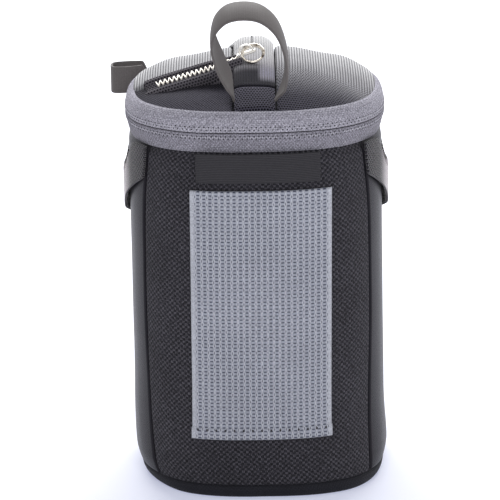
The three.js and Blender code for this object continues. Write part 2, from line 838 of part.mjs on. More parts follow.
// The webbing patch has a thicker folded hem along its bottom edge.
function webbingPatchSolid() {
  const highest = bandBottom - patchDrop;
  const lowest = highest - patchLength;
  const heights = wallHeights(0, lowest + patchHem + patchHemThickness, highest);
  const hem = [lowest, lowest + patchHem];
  const outer = [
    ...skinLine(hem, seatGap + patchThickness + patchHemThickness),
    ...skinLine(heights, seatGap + patchThickness),
  ];
  return frontSkinSolid(patchHalfWidth, skinLine([...hem, ...heights], seatGap), outer);
}

function labelSolid() {
  const heights = [bandBottom - labelHeight, bandBottom - seatGap];
  return frontSkinSolid(
    labelHalfWidth, skinLine(heights, seatGap), skinLine(heights, seatGap + labelThickness),
  );
}

// A side loop runs from the front seam to the rear seam. It stands off in its middle, and its top
// edge sags there away from the band.
function sideLoopSolid(side) {
  const top = bandBottom - seatGap;
  const sections = [];
  for (let step = 0; step <= loopSteps; step += 1) {
    const share = step / loopSteps;
    const angle = (-seamAngle + 2 * seamAngle * share) * toRadians;
    const past = (share - loopMiddleShare) / loopMiddleShare;
    const drop = past < 0
      ? loopSideDrop + (loopSideDrop - loopFrontDrop) * past
      : loopSideDrop + (loopBackDrop - loopSideDrop) * past;
    const middle = Math.sin(share * Math.PI);
    const off = seatGap + loopStandOff * middle;
    const high = top - loopTopDip * middle;
    const low = top - drop;
    const corners = [
      [off, high], [off + loopThickness, high], [off + loopThickness, low], [off, low],
    ];
    sections.push(corners.map(([out, height]) => {
      const [x, y] = insetPoint(angle, -out);
      return new THREE.Vector3(side * x, y, height);
    }));
  }
  return quadLoft(sections);
}

function hingeTapeSolid() {
  const angle = frontAngle(hingeTapeWidth / 2);
  const inner = -bandBulge - hingeTapeGap;
  const outer = inner - hingeTapeThickness;
  const low = zipHeight - hingeTapeHeight / 2;
  const high = zipHeight + hingeTapeHeight / 2;
  const bands = [low, zipHeight, high];
  const outline = [
    ...bands.map((height) => [outer, height]),
    ...bands.map((height) => [inner, height]).reverse(),
  ];
  return planSweep(outline, angle, Math.PI - angle);
}

function beltLoopSolid() {
  const wall = bodyHalfDepth + seatGap + beltLoopThickness / 2;
  const beltLoopTop = bandBottom - beltLoopDrop;
  const beltLoopBottom = beltLoopTop - beltLoopLength;
  const off = wall + beltLoopGap;
  const path = [
    [wall, beltLoopBottom],
    [wall, beltLoopBottom + beltLoopTab],
    [off, beltLoopBottom + beltLoopTab + beltLoopRamp],
    [off, beltLoopTop - beltLoopTab - beltLoopRamp],
    [wall, beltLoopTop - beltLoopTab],
    [wall, beltLoopTop],
  ];
  const across = new THREE.Vector3(1, 0, 0);
  const strap = ribbonSolid(path.map(([y, z]) => ({
    centre: new THREE.Vector3(0, y, z), across, halfWidth: beltLoopWidth / 2,
  })), beltLoopThickness);
  const heights = wallHeights(0, beltLoopBottom - beltLoopTab, beltLoopTop + beltLoopTab);
  const body = planSweep([
    [bodyHalfWidth, heights[0]],
    ...heights.map((height) => [-seatGap - bellyAt(height), height]),
    [bodyHalfWidth, heights[heights.length - 1]],
  ]);
  return cut(strap, body);
}

const colours = {
  weave: 0x3a393e,
  side: 0x4a494d,
  foam: 0x2b2b2e,
  lining: 0x8d9098,
  tape: 0x8b8a94,
  coil: 0x2a2a2d,
  patch: 0xa5aab4,
  label: 0x3f3e42,
  mesh: 0x6a6b71,
  pocket: 0x37363b,
  metal: 0xc9c8c4,
  ribbon: 0x6b6869,
};

const group = new THREE.Group();

function addPart(name, geometry, colour, roughness = 0.9, metalness = 0) {
  const material = new THREE.MeshStandardMaterial({ color: colours[colour], roughness, metalness });
  const mesh = new THREE.Mesh(geometry, material);
  mesh.name = name;
  group.add(mesh);
}

addPart('front_panel', panelSolid(-180 + seamAngle, -seamAngle), 'weave');
addPart('right_side_panel', panelSolid(-seamAngle, seamAngle), 'side');
addPart('back_panel', panelSolid(seamAngle, 180 - seamAngle), 'weave');
addPart('left_side_panel', panelSolid(180 - seamAngle, 180 + seamAngle), 'side');
addPart('base_panel', basePanelSolid(), 'weave');
addPart('wall_padding', wallPaddingSolid(), 'foam');
addPart('base_padding', basePaddingSolid(), 'foam');
addPart('lining', liningSolid(), 'lining');
addPart('lower_zip_tape', lowerTapeSolid(), 'tape');
addPart('lower_zip_coil', coilSolid(lowerTapeTop - coilHeight), 'coil');
addPart('webbing_patch', webbingPatchSolid(), 'patch');
addPart('label_tab', labelSolid(), 'label');
addPart('left_side_loop', sideLoopSolid(-1), 'side');
addPart('right_side_loop', sideLoopSolid(1), 'side');
addPart('belt_loop', beltLoopSolid(), 'weave');
addPart('lid_hinge_tape', hingeTapeSolid(), 'tape');

addPart('upper_zip_tape', upperTapeSolid(), 'tape');
addPart('upper_zip_coil', coilSolid(upperTapeBottom), 'coil');
addPart('left_rear_cover', leftRearCoverSolid(), 'mesh');
addPart('left_front_cover', leftFrontCoverSolid(), 'mesh');
addPart('right_cover', rightCoverSolid(), 'mesh');
addPart('rear_strip', rearStripSolid(), 'mesh');
addPart('front_strip', frontStripSolid(), 'mesh');
addPart('lid_padding', lidPaddingSolid(), 'foam');
addPart('lid_lining', lidLiningSolid(), 'lining');
addPart('pocket_bag', pocketBagSolid(), 'lining');
addPart('pocket_zip_tape', pocketTapeSolid(), 'pocket');
addPart('pocket_zip_chain', pocketChainSolid(), 'metal', 0.35, 0.9);

addPart('pocket_slider', pocketSliderSolid(), 'metal', 0.3, 1);
addPart('slider_ring', sliderRingSolid(), 'metal', 0.3, 1);
addPart('rim_slider', rimSliderSolid(), 'metal', 0.4, 1);
addPart('rim_pull', rimPullSolid(), 'ribbon');
addPart('grab_loop', grabLoopSolid(), 'ribbon');

export default group;
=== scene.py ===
from math import atan2, cos, exp, pi, radians, sin, sqrt

import bmesh
import bpy
from mathutils import Matrix, Quaternion, Vector, noise


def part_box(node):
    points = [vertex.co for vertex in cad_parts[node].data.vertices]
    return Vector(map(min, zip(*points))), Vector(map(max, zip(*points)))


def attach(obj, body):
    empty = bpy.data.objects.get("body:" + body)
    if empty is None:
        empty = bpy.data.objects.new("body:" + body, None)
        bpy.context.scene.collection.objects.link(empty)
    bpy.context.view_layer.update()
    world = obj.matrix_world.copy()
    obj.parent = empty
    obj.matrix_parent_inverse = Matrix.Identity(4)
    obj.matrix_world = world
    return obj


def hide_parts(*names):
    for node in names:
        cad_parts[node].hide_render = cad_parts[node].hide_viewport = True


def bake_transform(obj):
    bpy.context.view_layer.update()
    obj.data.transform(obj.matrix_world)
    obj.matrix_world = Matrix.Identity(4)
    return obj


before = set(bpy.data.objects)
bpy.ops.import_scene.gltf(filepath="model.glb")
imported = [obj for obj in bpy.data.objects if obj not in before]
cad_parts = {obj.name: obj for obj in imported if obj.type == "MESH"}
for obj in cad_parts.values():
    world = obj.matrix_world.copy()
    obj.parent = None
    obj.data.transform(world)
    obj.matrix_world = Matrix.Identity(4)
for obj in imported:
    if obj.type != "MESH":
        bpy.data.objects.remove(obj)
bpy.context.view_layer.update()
turn = 2 * pi

# the pouch's own plan, wall and dome, as in the CAD but for its foot, in metres
pouch = {
    "power": 2.6,
    "half": 0.0525,
    "bellyGain": 0.0012,
    "bellyTop": 0.055,
    "footRadius": 0.0036,  # the CAD has 9 mm
    "footTop": 0.0037,
    "panelTop": 0.1495,
    "zipHeight": 0.1565,
    "domeHalf": 0.0504,
    "domeTop": 0.1776,
    "domeRise": 0.0142,
    "domePower": 2.2,
    "backSwell": 0.0014,
    "backSink": 0.002,  # a piece sunk less than this comes back up at the rear
    "rimLift": 0.0023,  # the dome is fuller at its rear corners
    "rimSpans": ((0.022, 0.042), (-0.02, 0.006), (0.024, 0.042)),  # of X, Y and half width
}

# camera, light and floor come first
cameraSet = {
    "lens": 255.0, "distance": 1.5, "elevation": 15.5,
    "aim": (-0.00296, 0.0, 0.0927), "roll": -1.0,
}
lampSet = {  # place, size across, size up, power, colour
    "leftBox": ((-1.2, 0.25, 0.4), 0.6, 1.3, 1.0, (1.0, 0.99, 0.98)),
    "rightBox": ((1.2, 0.25, 0.4), 0.6, 1.3, 4.5, (1.0, 0.99, 0.98)),
    "topBox": ((0.0, 1.0, 1.05), 1.4, 0.7, 36.0, (1.0, 1.0, 1.0)),
    "frontBox": ((0.05, -1.5, 0.75), 0.9, 0.7, 13.5, (0.98, 0.99, 1.0)),
}
lampAim = (0, 0, 0.1)
worldLight = 0.3
floorSet = {  # the floor's glow keeps its shadow as pale and bluish as in the photo
    "size": 6, "bounce": (0.9, 0.9, 0.92, 1), "seen": (0.55, 0.55, 0.55, 1),
    "glow": (0.33, 0.35, 0.47, 1), "roughness": 0.9, "specular": 0.1,
}


def rgb(red, green, blue):  # sRGB 0 to 255, as read off a screen
    def linear(value):
        share = value / 255
        return share / 12.92 if share <= 0.04045 else ((share + 0.055) / 1.055) ** 2.4
    return (linear(red), linear(green), linear(blue), 1.0)


def addNode(tree, kind, **settings):
    made = tree.nodes.new(kind)
    for key, value in settings.items():
        setattr(made, key, value)
    return made


def plain(value):
    return getattr(value, "socket", value)


def treeOf(*values):  # the node tree of the first socket among the values
    sockets = (value for value in map(plain, values) if isinstance(value, bpy.types.NodeSocket))
    return next(sockets).id_data


def feed(target, value):
    value = plain(value)
    if isinstance(value, bpy.types.NodeSocket):
        target.id_data.links.new(value, target)
    else:
        target.default_value = value


def calc(operation, *values):
    made = addNode(treeOf(*values), "ShaderNodeMath", operation=operation)
    for target, value in zip(made.inputs, values):
        feed(target, value)
    return Signal(made.outputs[0])


class Signal:  # a shader value that takes plain arithmetic
    def __init__(self, socket):
        self.socket = socket

    __add__ = lambda self, other: calc("ADD", self, other)
    __sub__ = lambda self, other: calc("SUBTRACT", self, other)
    __rsub__ = lambda self, other: calc("SUBTRACT", other, self)
    __mul__ = lambda self, other: calc("MULTIPLY", self, other)
    __truediv__ = lambda self, other: calc("DIVIDE", self, other)
    __pow__ = lambda self, other: calc("POWER", self, other)
    __abs__ = lambda self: calc("ABSOLUTE", self)

    def only(self, operation, *others):
        return calc(operation, self, *others)

    def step(self, low, high, toLow=0.0, toHigh=1.0):  # smooth, between two values
        made = addNode(treeOf(self), "ShaderNodeMapRange", interpolation_type="SMOOTHSTEP")
        for target, value in zip(made.inputs, (self, low, high, toLow, toHigh)):
            feed(target, value)
        return Signal(made.outputs[0])

    def vary(self, amount, low=0.3, high=0.7):  # swings round 1
        return self.step(low, high, 1 - amount, 1 + amount)


def mix(kind, pins, values, blend="MIX"):
    made = addNode(treeOf(*values), "ShaderNodeMix", data_type=kind, blend_type=blend)
    for pin, value in zip(pins, values):
        feed(made.inputs[pin], value)
    return made.outputs


def mixColour(share, first, second, blend="MIX"):
    return mix("RGBA", (0, 6, 7), (share, first, second), blend)[2]


def mixNumber(share, first, second):
    return Signal(mix("FLOAT", (0, 2, 3), (share, first, second))[0])


def aimAt(obj, place, target, roll=0.0):
    look = (Vector(target) - Vector(place)).to_track_quat("-Z", "Y")
    obj.location = place
    obj.rotation_euler = (look @ Quaternion((0, 0, 1), radians(roll))).to_euler()


def addObject(name, data):
    made = bpy.data.objects.new(name, data)
    bpy.context.scene.collection.objects.link(made)
    return made


def makeCamera():
    data = bpy.data.cameras.new("photoCamera")
    data.lens = cameraSet["lens"]
    data.sensor_width = 36
    data.clip_end = 20
    camera = addObject("photoCamera", data)
    lift = radians(cameraSet["elevation"])
    back = Vector((0, -cos(lift), sin(lift))) * cameraSet["distance"]
    aimAt(camera, Vector(cameraSet["aim"]) + back, cameraSet["aim"], cameraSet["roll"])
    bpy.context.scene.camera = camera


def makeLamps():
    for name, (place, across, up, power, colour) in lampSet.items():
        data = bpy.data.lights.new(name, "AREA")
        data.shape = "RECTANGLE"
        data.size, data.size_y = across, up
        data.energy = power
        data.color = colour
        aimAt(addObject(name, data), place, lampAim)


def seenRay(tree):  # 1 where the camera, a gloss or a glass ray looks
    path = addNode(tree, "ShaderNodeLightPath").outputs
    either = calc("MAXIMUM", path["Is Camera Ray"], path["Is Glossy Ray"])
    return either.only("MAXIMUM", path["Is Transmission Ray"])


def makeWorld():
    world = bpy.data.worlds.new("studio")
    world.use_nodes = True
    tree = world.node_tree
    light = tree.nodes["Background"]
    feed(light.inputs["Color"], (1, 1, 1, 1))
    feed(light.inputs["Strength"], mixNumber(seenRay(tree), worldLight, 1.0))
    bpy.context.scene.world = world


def startMaterial(name, settings):
    material = bpy.data.materials.new(name)
    material.use_nodes = True
    tree = material.node_tree
    shader = tree.nodes["Principled BSDF"].inputs
    feed(shader["Roughness"], settings["roughness"])
    feed(shader["Specular IOR Level"], settings["specular"])
    feed(shader["Metallic"], settings.get("metallic", 0.0))
    feed(shader["Sheen Weight"], settings.get("sheen", 0.0))
    feed(shader["Sheen Roughness"], 0.4)
    return material, tree, shader


def makeFloor():
    bm = bmesh.new()
    bmesh.ops.create_grid(bm, x_segments=2, y_segments=2, size=floorSet["size"])
    mesh = bpy.data.meshes.new("floor")
    bm.to_mesh(mesh)
    bm.free()
    floorPiece = addObject("floor", mesh)
    material, tree, shader = startMaterial("paleFloor", floorSet)
    seen = seenRay(tree)
    feed(shader["Base Color"], mixColour(seen, floorSet["bounce"], floorSet["seen"]))
    feed(shader["Emission Color"], floorSet["glow"])
    feed(shader["Emission Strength"], seen)
    mesh.materials.append(material)


makeCamera()
makeLamps()
makeWorld()
makeFloor()
bpy.context.scene.view_settings.view_transform = "Standard"
print("stage and camera ready")


# shader groups that several cloths share
def newGroup(name, takes, gives):  # each takes a vector first
    tree = bpy.data.node_groups.new(name, "ShaderNodeTree")
    tree.interface.new_socket(name="Vector", in_out="INPUT", socket_type="NodeSocketVector")
    for label, value in takes.items():
        tree.interface.new_socket(
            name=label, in_out="INPUT", socket_type="NodeSocketFloat").default_value = value
    for label in gives:
        tree.interface.new_socket(name=label, in_out="OUTPUT", socket_type="NodeSocketFloat")
    given, made = addNode(tree, "NodeGroupInput"), addNode(tree, "NodeGroupOutput")
    return tree, given.outputs, made.inputs


def splitVector(vector):
    split = addNode(treeOf(vector), "ShaderNodeSeparateXYZ")
    feed(split.inputs[0], vector)
    return Signal(split.outputs[0]), Signal(split.outputs[1])


def makeWeaveGroup():  # over and under threads, paired in each cell where Wide is 1
    takes = {"Width": 0.001, "Length": 0.001, "Wide": 0.0}
    tree, given, made = newGroup("overUnderWeave", takes, ["Height", "Over", "Gap"])
    x, y = splitVector(given["Vector"])
    x, y = x / given["Width"], y / given["Length"]
    over = (x.only("FLOOR") + y.only("FLOOR")).only("FLOORED_MODULO", 2.0)
    across, along = x.only("FRACT") - 0.5, y.only("FRACT") - 0.5
    wide = mixNumber(over, across, along)
    long = mixNumber(over, along, across)
    single = wide ** 2 * 3.2
    paired = (abs(wide) * 2 - 0.5) ** 2 * 3.2
    height = (1 - mixNumber(given["Wide"], single, paired)) * (1 - long ** 2 * 1.7)
    feed(made["Height"], height)
    feed(made["Over"], over)
    feed(made["Gap"], height.step(0.1, 0.42, 1.0, 0.0))
    return tree


def makeRibGroup():  # fine ribs along or across the cloth
    tree, given, made = newGroup("fineRibs", {"Pitch": 0.001}, ["Along", "Across"])
    for value, label in zip(splitVector(given["Vector"]), ("Along", "Across")):
        feed(made[label], (value / given["Pitch"] * turn).only("COSINE") * 0.5 + 0.5)
    return tree


def makeMeshGroup():  # spacer mesh: lines where Open is 0, offset rows of round holes where 1
    takes = {"Width": 0.0017, "Length": 0.0013, "Open": 1.0}
    tree, given, made = newGroup("spacerHoles", takes, ["Hole", "Rib"])
    x, y = splitVector(given["Vector"])
    y = y / given["Length"]
    row = y.only("FLOOR").only("FLOORED_MODULO", 2.0) * 0.5
    x = row * given["Open"] + x / given["Width"]
    across, along = x.only("FRACT") - 0.5, y.only("FRACT") - 0.5
    reach = along * mixNumber(given["Open"], 0.3, 1.0)
    far = (across ** 2 + reach ** 2).only("SQRT")
    size = mixNumber(given["Open"], 0.06, 0.24)
    feed(made["Hole"], far.step(size, size + 0.2, 1.0, 0.0))
    feed(made["Rib"], abs(along).step(0.25, 0.5))
    return tree


def makeWebbingGroup():  # columns of rungs with short dark gaps, between threads that part and meet
    takes = {"Width": 0.0025, "Length": 0.003, "Wide": 0.04}
    tree, given, made = newGroup("webbingThreads", takes, ["Height", "Over", "Gap"])
    x, y = splitVector(given["Vector"])
    selvage = abs(x / given["Wide"] - 0.5).step(0.462, 0.474)
    x, y = (x / given["Width"]).only("FRACT"), y / given["Length"]
    part = (y * turn).only("COSINE") * -0.085 + 0.085
    aside = 0.5 - abs(x - 0.5)
    line = abs(aside - part).step(0.04, 0.13, 1.0, 0.0)
    rung = abs((y * 2).only("FRACT") - 0.5)
    dash = rung.step(0.08, 0.24, 1.0, 0.0) * aside.step(0.2, 0.32)
    hollow = aside.step(0.02, 0.1, 1.0, 0.0) * part.step(0.1, 0.15)
    dark = dash.only("MAXIMUM", hollow * 0.7) * (1 - selvage)
    light = line.only("MAXIMUM", selvage)
    feed(made["Height"], light * 0.4 + 0.5 - dark * 0.5 + rung * 0.5)
    feed(made["Over"], light)
    feed(made["Gap"], dark)
    return tree


def makeFibreGroup():  # fine fluff and broad unevenness, both about 0 to 1
    takes = {"Fine": 2600.0, "Broad": 60.0}
    tree, given, made = newGroup("fibreNoise", takes, ["Fluff", "Cloud"])
    for scale, detail, label in (("Fine", 3.0, "Fluff"), ("Broad", 4.0, "Cloud")):
        cloud = addNode(tree, "ShaderNodeTexNoise")
        feed(cloud.inputs["Vector"], given["Vector"])
        feed(cloud.inputs["Scale"], given[scale])
        feed(cloud.inputs["Detail"], detail)
        feed(made[label], cloud.outputs["Fac"])
    return tree


groups = {
    "weave": makeWeaveGroup(),
    "ribs": makeRibGroup(),
    "mesh": makeMeshGroup(),
    "webbing": makeWebbingGroup(),
    "fibre": makeFibreGroup(),
}


def useGroup(name, vector, **values):
    made = addNode(treeOf(vector), "ShaderNodeGroup", node_tree=groups[name])
    feed(made.inputs["Vector"], vector)
    for key, value in values.items():
        feed(made.inputs[key], value)
    return {socket.name: Signal(socket) for socket in made.outputs}


def clothVector(tree):
    return addNode(tree, "ShaderNodeUVMap", uv_map="cloth").outputs[0]


def objectVector(tree):
    return addNode(tree, "ShaderNodeTexCoord").outputs["Object"]


def bump(shader, height, distance):
    made = addNode(treeOf(height), "ShaderNodeBump")
    feed(made.inputs["Strength"], 1.0)
    feed(made.inputs["Distance"], distance)
    feed(made.inputs["Height"], height)
    feed(shader["Normal"], made.outputs[0])


def paint(shader, colour, shade):  # a colour, made lighter and darker by a shade
    grey = addNode(treeOf(colour), "ShaderNodeCombineColor")
    for socket in grey.inputs[:3]:
        feed(socket, shade)
    colour = mixColour(1.0, colour, grey.outputs[0], "MULTIPLY")
    feed(shader["Base Color"], colour)


def wovenCloth(name, settings):
    material, tree, shader = startMaterial(name, settings)
    place = objectVector(tree)
    vector = clothVector(tree) if settings["flat"] else place
    fibre = useGroup("fibre", place, Fine=settings["fine"], Broad=settings["broad"])
    weave = useGroup(settings["pattern"], vector, Width=settings["width"],
                     Length=settings["length"], Wide=settings["wide"])
    warp, weft, gap = (rgb(*colour) for colour in settings["colours"])
    thread = mixColour(weave["Over"], warp, weft)
    shade = fibre["Fluff"].vary(settings["mottle"])
    shade = shade * fibre["Cloud"].vary(settings["cloud"], 0.25, 0.75)
    paint(shader, mixColour(weave["Gap"], thread, gap), shade)
    bump(shader, weave["Height"] + fibre["Fluff"] * settings["fluff"], settings["depth"])
    return material


def ribbedCloth(name, settings):
    material, tree, shader = startMaterial(name, settings)
    fibre = useGroup("fibre", objectVector(tree), Fine=settings["fine"], Broad=60.0)
    ribs = useGroup("ribs", clothVector(tree), Pitch=settings["pitch"])[settings["side"]]
    light, dark = (rgb(*colour) for colour in settings["colours"])
    colour = mixColour(ribs.step(0.05, 0.75), dark, light)
    paint(shader, colour, fibre["Fluff"].vary(settings["mottle"]))
    bump(shader, ribs + fibre["Fluff"] * 0.5, settings["depth"])
    return material


def meshCloth(name, settings):  # thread and hole colours change from rear over middle to front, which paints light and shade by depth
    material, tree, shader = startMaterial(name, settings)
    place = objectVector(tree)
    fibre = useGroup("fibre", place, Fine=2200.0, Broad=40.0)
    x, y = splitVector(place)
    # back and fore share out painted light and shade: from rear over middle to front the colours
    # grow lighter or darker by depth alone
    back = y.step(*settings["rearShadeFrom"])
    fore = y.step(*settings["frontShadeFrom"], 1.0, 0.0)
    if "lightPatch" in settings:  # a corner of lighter cloth, where the painted front shade stops short
        side, edge, colour = settings["lightPatch"]
        corner = x.step(side, side + 0.003) * y.step(edge, edge + 0.006) * fore
        fore = fore - corner
    weave = y.step(*settings["openFrom"], 1.0, 0.0)
    holes = useGroup("mesh", clothVector(tree), Width=settings["width"],
                     Length=settings["length"], Open=weave)

    def paintedShadeOf(rear, middle, front):
        rearward = mixColour(back, rgb(*middle), rgb(*rear))
        return mixColour(fore, rearward, rgb(*front))

    thread = paintedShadeOf(*settings["thread"])
    if "lightPatch" in settings:
        thread = mixColour(corner, thread, rgb(*colour))
    rib = mixColour(holes["Rib"], thread, settings["ribTint"], "MULTIPLY")
    colour = mixColour(holes["Hole"], rib, paintedShadeOf(*settings["hole"]))
    paint(shader, colour, fibre["Fluff"].vary(0.18))
    bump(shader, fibre["Fluff"] * 0.3 - holes["Hole"], settings["depth"])
    return material


def foamSkin(name, settings):
    material, tree, shader = startMaterial(name, settings)
    place = objectVector(tree)
    pores = addNode(tree, "ShaderNodeTexVoronoi")
    feed(pores.inputs["Scale"], settings["pores"])
    feed(pores.inputs["Vector"], place)
    fibre = useGroup("fibre", place, Fine=900.0, Broad=50.0)
    share = (fibre["Cloud"] * pores.outputs["Distance"]).step(0.05, 0.4)
    light, dark = (rgb(*colour) for colour in settings["colours"])
    feed(shader["Base Color"], mixColour(share, light, dark))
    bump(shader, calc("SUBTRACT", 1.0, pores.outputs["Distance"]), 0.0003)
    return material


def hardSkin(name, bright, dull, roughness, metallic):
    settings = {"roughness": roughness, "specular": 0.5, "metallic": metallic}
    material, tree, shader = startMaterial(name, settings)
    fibre = useGroup("fibre", objectVector(tree), Fine=1800.0, Broad=240.0)
    # patches of the dull colour: wear on most parts, and painted brown shade on the slider metal
    wearAndShade = fibre["Cloud"].step(0.42, 0.62)
    feed(shader["Base Color"], mixColour(wearAndShade, rgb(*bright), rgb(*dull)))
    rough = fibre["Fluff"].step(0.3, 0.7, roughness - 0.08, roughness + 0.12)
    feed(shader["Roughness"], rough)
    bump(shader, fibre["Fluff"], 0.00003)
    return material


clothBase = {
    "pattern": "weave", "flat": True, "wide": 0.0, "roughness": 0.75, "specular": 0.12,
    "sheen": 0.03, "fine": 1500.0, "broad": 60.0, "cloud": 0.05, "fluff": 0.5,
}
tapeBase = {
    "width": 0.00072, "length": 0.00084, "roughness": 0.85, "specular": 0.15, "sheen": 0.08,
    "broad": 70.0, "mottle": 0.36, "fluff": 0.8, "depth": 0.00026,
}
clothSet = {  # the colours are warp, weft and gap
    "ballisticWeave": {
        "width": 0.00128, "length": 0.00106, "wide": 1.0, "broad": 45.0, "mottle": 0.62,
        "cloud": 0.1, "depth": 0.0006, "colours": ((74, 72, 79), (40, 39, 46), (10, 10, 16)),
    },
    "sideFabric": {
        "width": 0.0006, "length": 0.0006, "roughness": 0.38, "specular": 0.1, "sheen": 0.02,
        "fine": 2800.0, "broad": 50.0, "mottle": 0.14, "cloud": 0.08, "depth": 0.00005,
        "colours": ((31, 29, 35), (26, 24, 30), (16, 15, 20)),
    },
    "baseFabric": {
        "width": 0.0008, "length": 0.0008, "roughness": 0.7, "fine": 2400.0, "mottle": 0.12,
        "cloud": 0.1, "depth": 0.0002, "colours": ((32, 32, 38), (27, 27, 33), (15, 15, 20)),
    },
    "bandTape": {**tapeBase, "colours": ((140, 138, 149), (120, 118, 129), (82, 80, 92))},
    # the same tape painted lighter, standing in for the light that falls on the upper tape from
    # above
    "bandTapeUpperLit": {**tapeBase, "colours": ((164, 162, 174), (146, 144, 156), (100, 98, 111))},
    "patchWebbing": {
        "pattern": "webbing", "width": 0.00238, "length": 0.003, "wide": 0.0568, "broad": 50.0,
        "mottle": 0.16, "fluff": 0.4, "depth": 0.0003,
        "colours": ((146, 149, 161), (166, 168, 178), (70, 73, 88)),
    },
    "liningCloth": {
        "flat": False, "width": 0.0012, "length": 0.0012, "roughness": 0.95, "specular": 0.1,
        "sheen": 0.3, "fine": 1800.0, "mottle": 0.12, "cloud": 0.08, "fluff": 1.2,
        "depth": 0.00012, "colours": ((150, 152, 160), (142, 144, 152), (120, 122, 130)),
    },
    "beltWebbing": {
        "pattern": "webbing", "width": 0.0022, "length": 0.0026, "wide": 0.04,
        "specular": 0.15, "sheen": 0.05, "fine": 2200.0, "mottle": 0.2, "cloud": 0.06,
        "fluff": 0.4, "depth": 0.0004, "colours": ((42, 41, 46), (52, 51, 56), (16, 16, 20)),
    },
}
ribBase = {"specular": 0.15, "fine": 2400.0, "mottle": 0.12}
ribSet = {  # the colours are ridge and groove
    "labelWeave": {
        "pitch": 0.00072, "side": "Across", "roughness": 0.7, "sheen": 0.04,
        "depth": 0.00012, "colours": ((54, 53, 57), (38, 37, 41)),
    },
    "ribbonWeave": {
        "pitch": 0.0007, "side": "Across", "roughness": 0.6, "sheen": 0.05, "mottle": 0.1,
        "depth": 0.00002, "colours": ((90, 86, 86), (87, 83, 83)),
    },
    "hingeTape": {
        "pitch": 0.0009, "side": "Along", "roughness": 0.8, "sheen": 0.15,
        "depth": 0.00015, "colours": ((140, 139, 148), (116, 115, 124)),
    },
}
meshBase = {
    "width": 0.0012, "length": 0.0012, "depth": 0.0005, "roughness": 0.85, "specular": 0.06,
    "rearShadeFrom": (-0.034, 0.03), "ribTint": (0.8, 0.8, 0.81, 1),
}
meshSet = {  # thread and hole colours are for the rear, the middle and the front; the differences between them are painted light and shade
    # painted light and shade: lighter towards the rear, where the top light glances off, and darker
    # towards the front
    "lidMesh": {
        "width": 0.0011, "specular": 0.08, "sheen": 0.08, "frontShadeFrom": (-0.041, -0.0235),
        "openFrom": (-0.028, -0.012),
        "thread": ((196, 196, 198), (126, 125, 131), (66, 64, 77)),
        "hole": ((134, 134, 138), (62, 61, 67), (4, 4, 9)),
    },
    # painted lighter at the rear, and its front painted dark as the shadow in the recess under the
    # ring
    "rearStripMesh": {
        "width": 0.0011, "depth": 0.00025, "sheen": 0.04, "rearShadeFrom": (-0.03, 0.02),
        "frontShadeFrom": (-0.0255, -0.0155), "openFrom": (-0.06, -0.05),
        "ribTint": (0.94, 0.94, 0.95, 1), "lightPatch": (0.001, -0.033, (126, 124, 138)),
        "thread": ((200, 200, 201), (140, 138, 144), (34, 33, 40)),
        "hole": ((184, 184, 186), (118, 116, 122), (26, 25, 31)),
    },
    "frontStripMesh": {
        "sheen": 0.03, "frontShadeFrom": (-0.034, -0.03), "openFrom": (-0.034, -0.03),
        "thread": ((92, 90, 100), (92, 90, 100), (80, 78, 90)),
        "hole": ((10, 10, 16), (10, 10, 16), (8, 8, 14)),
    },
    # a darker copy of the lid mesh: painted shade on the sunk cover under the zip ridge
    "shadedSunkMesh": {
        "sheen": 0.02, "frontShadeFrom": (-0.03, -0.01), "openFrom": (-0.008, -0.005),
        "thread": ((60, 58, 66), (60, 58, 66), (62, 60, 72)),
        "hole": ((6, 6, 10), (6, 6, 10), (2, 2, 5)),
    },
    "pocketNet": {
        "width": 0.0013, "length": 0.0013, "specular": 0.1, "sheen": 0.08,
        "rearShadeFrom": (-0.05, -0.04), "frontShadeFrom": (-0.06, -0.05), "openFrom": (0.06, 0.07),
        "ribTint": (0.9, 0.9, 0.9, 1), "thread": ((102, 98, 105),) * 3, "hole": ((38, 36, 42),) * 3,
    },
    # painted light and shade: lighter in the middle as a rim of sheen, darker towards the front and
    # rear seams
    "wingMesh": {
        "width": 0.0014, "length": 0.0011, "specular": 0.1, "sheen": 0.5,
        "rearShadeFrom": (-0.002, 0.004), "frontShadeFrom": (-0.0265, -0.0145), "openFrom": (0.06, 0.07),
        "ribTint": (0.75, 0.74, 0.77, 1),
        "thread": ((84, 76, 76), (222, 214, 220), (50, 47, 56)),
        "hole": ((36, 32, 34), (146, 139, 146), (11, 10, 14)),
    },
}
hardSet = {  # bright, dull, roughness, metallic
    "toothMetal": ((240, 236, 228), (214, 208, 200), 0.45, 0.3),
    # its dull colour is painted brown shade, in patches
    "sliderMetal": ((206, 200, 190), (104, 92, 80), 0.3, 1.0),
    "knobMetal": ((238, 236, 232), (216, 213, 208), 0.4, 0.5),
    "darkPlastic": ((44, 43, 48), (34, 33, 38), 0.45, 0.0),
    "paleThread": ((178, 176, 187), (142, 140, 151), 0.7, 0.0),
    "edgeBinding": ((70, 68, 72), (56, 54, 58), 0.75, 0.0),
    # dark beads that paint the shade inside needle holes
    "needleHole": ((34, 33, 41), (26, 25, 32), 0.8, 0.0),
    "darkThread": ((40, 39, 46), (28, 27, 34), 0.7, 0.0),
}
foamSet = {
    "roughness": 0.95, "specular": 0.2, "pores": 1400, "colours": ((52, 52, 56), (30, 30, 34)),
}
finish = {name: wovenCloth(name, {**clothBase, **own}) for name, own in clothSet.items()}
finish.update({name: ribbedCloth(name, {**ribBase, **own}) for name, own in ribSet.items()})
finish.update({name: meshCloth(name, {**meshBase, **own}) for name, own in meshSet.items()})
finish.update({name: hardSkin(name, *own) for name, own in hardSet.items()})
finish["foamCore"] = foamSkin("foamCore", foamSet)
print("materials ready")


# shape helpers
def planPoint(angle, half, height=0.0):
    across, along = abs(cos(angle)), abs(sin(angle))
    radius = half / (across ** pouch["power"] + along ** pouch["power"]) ** (1 / pouch["power"])
    return Vector((radius * cos(angle), radius * sin(angle), height))


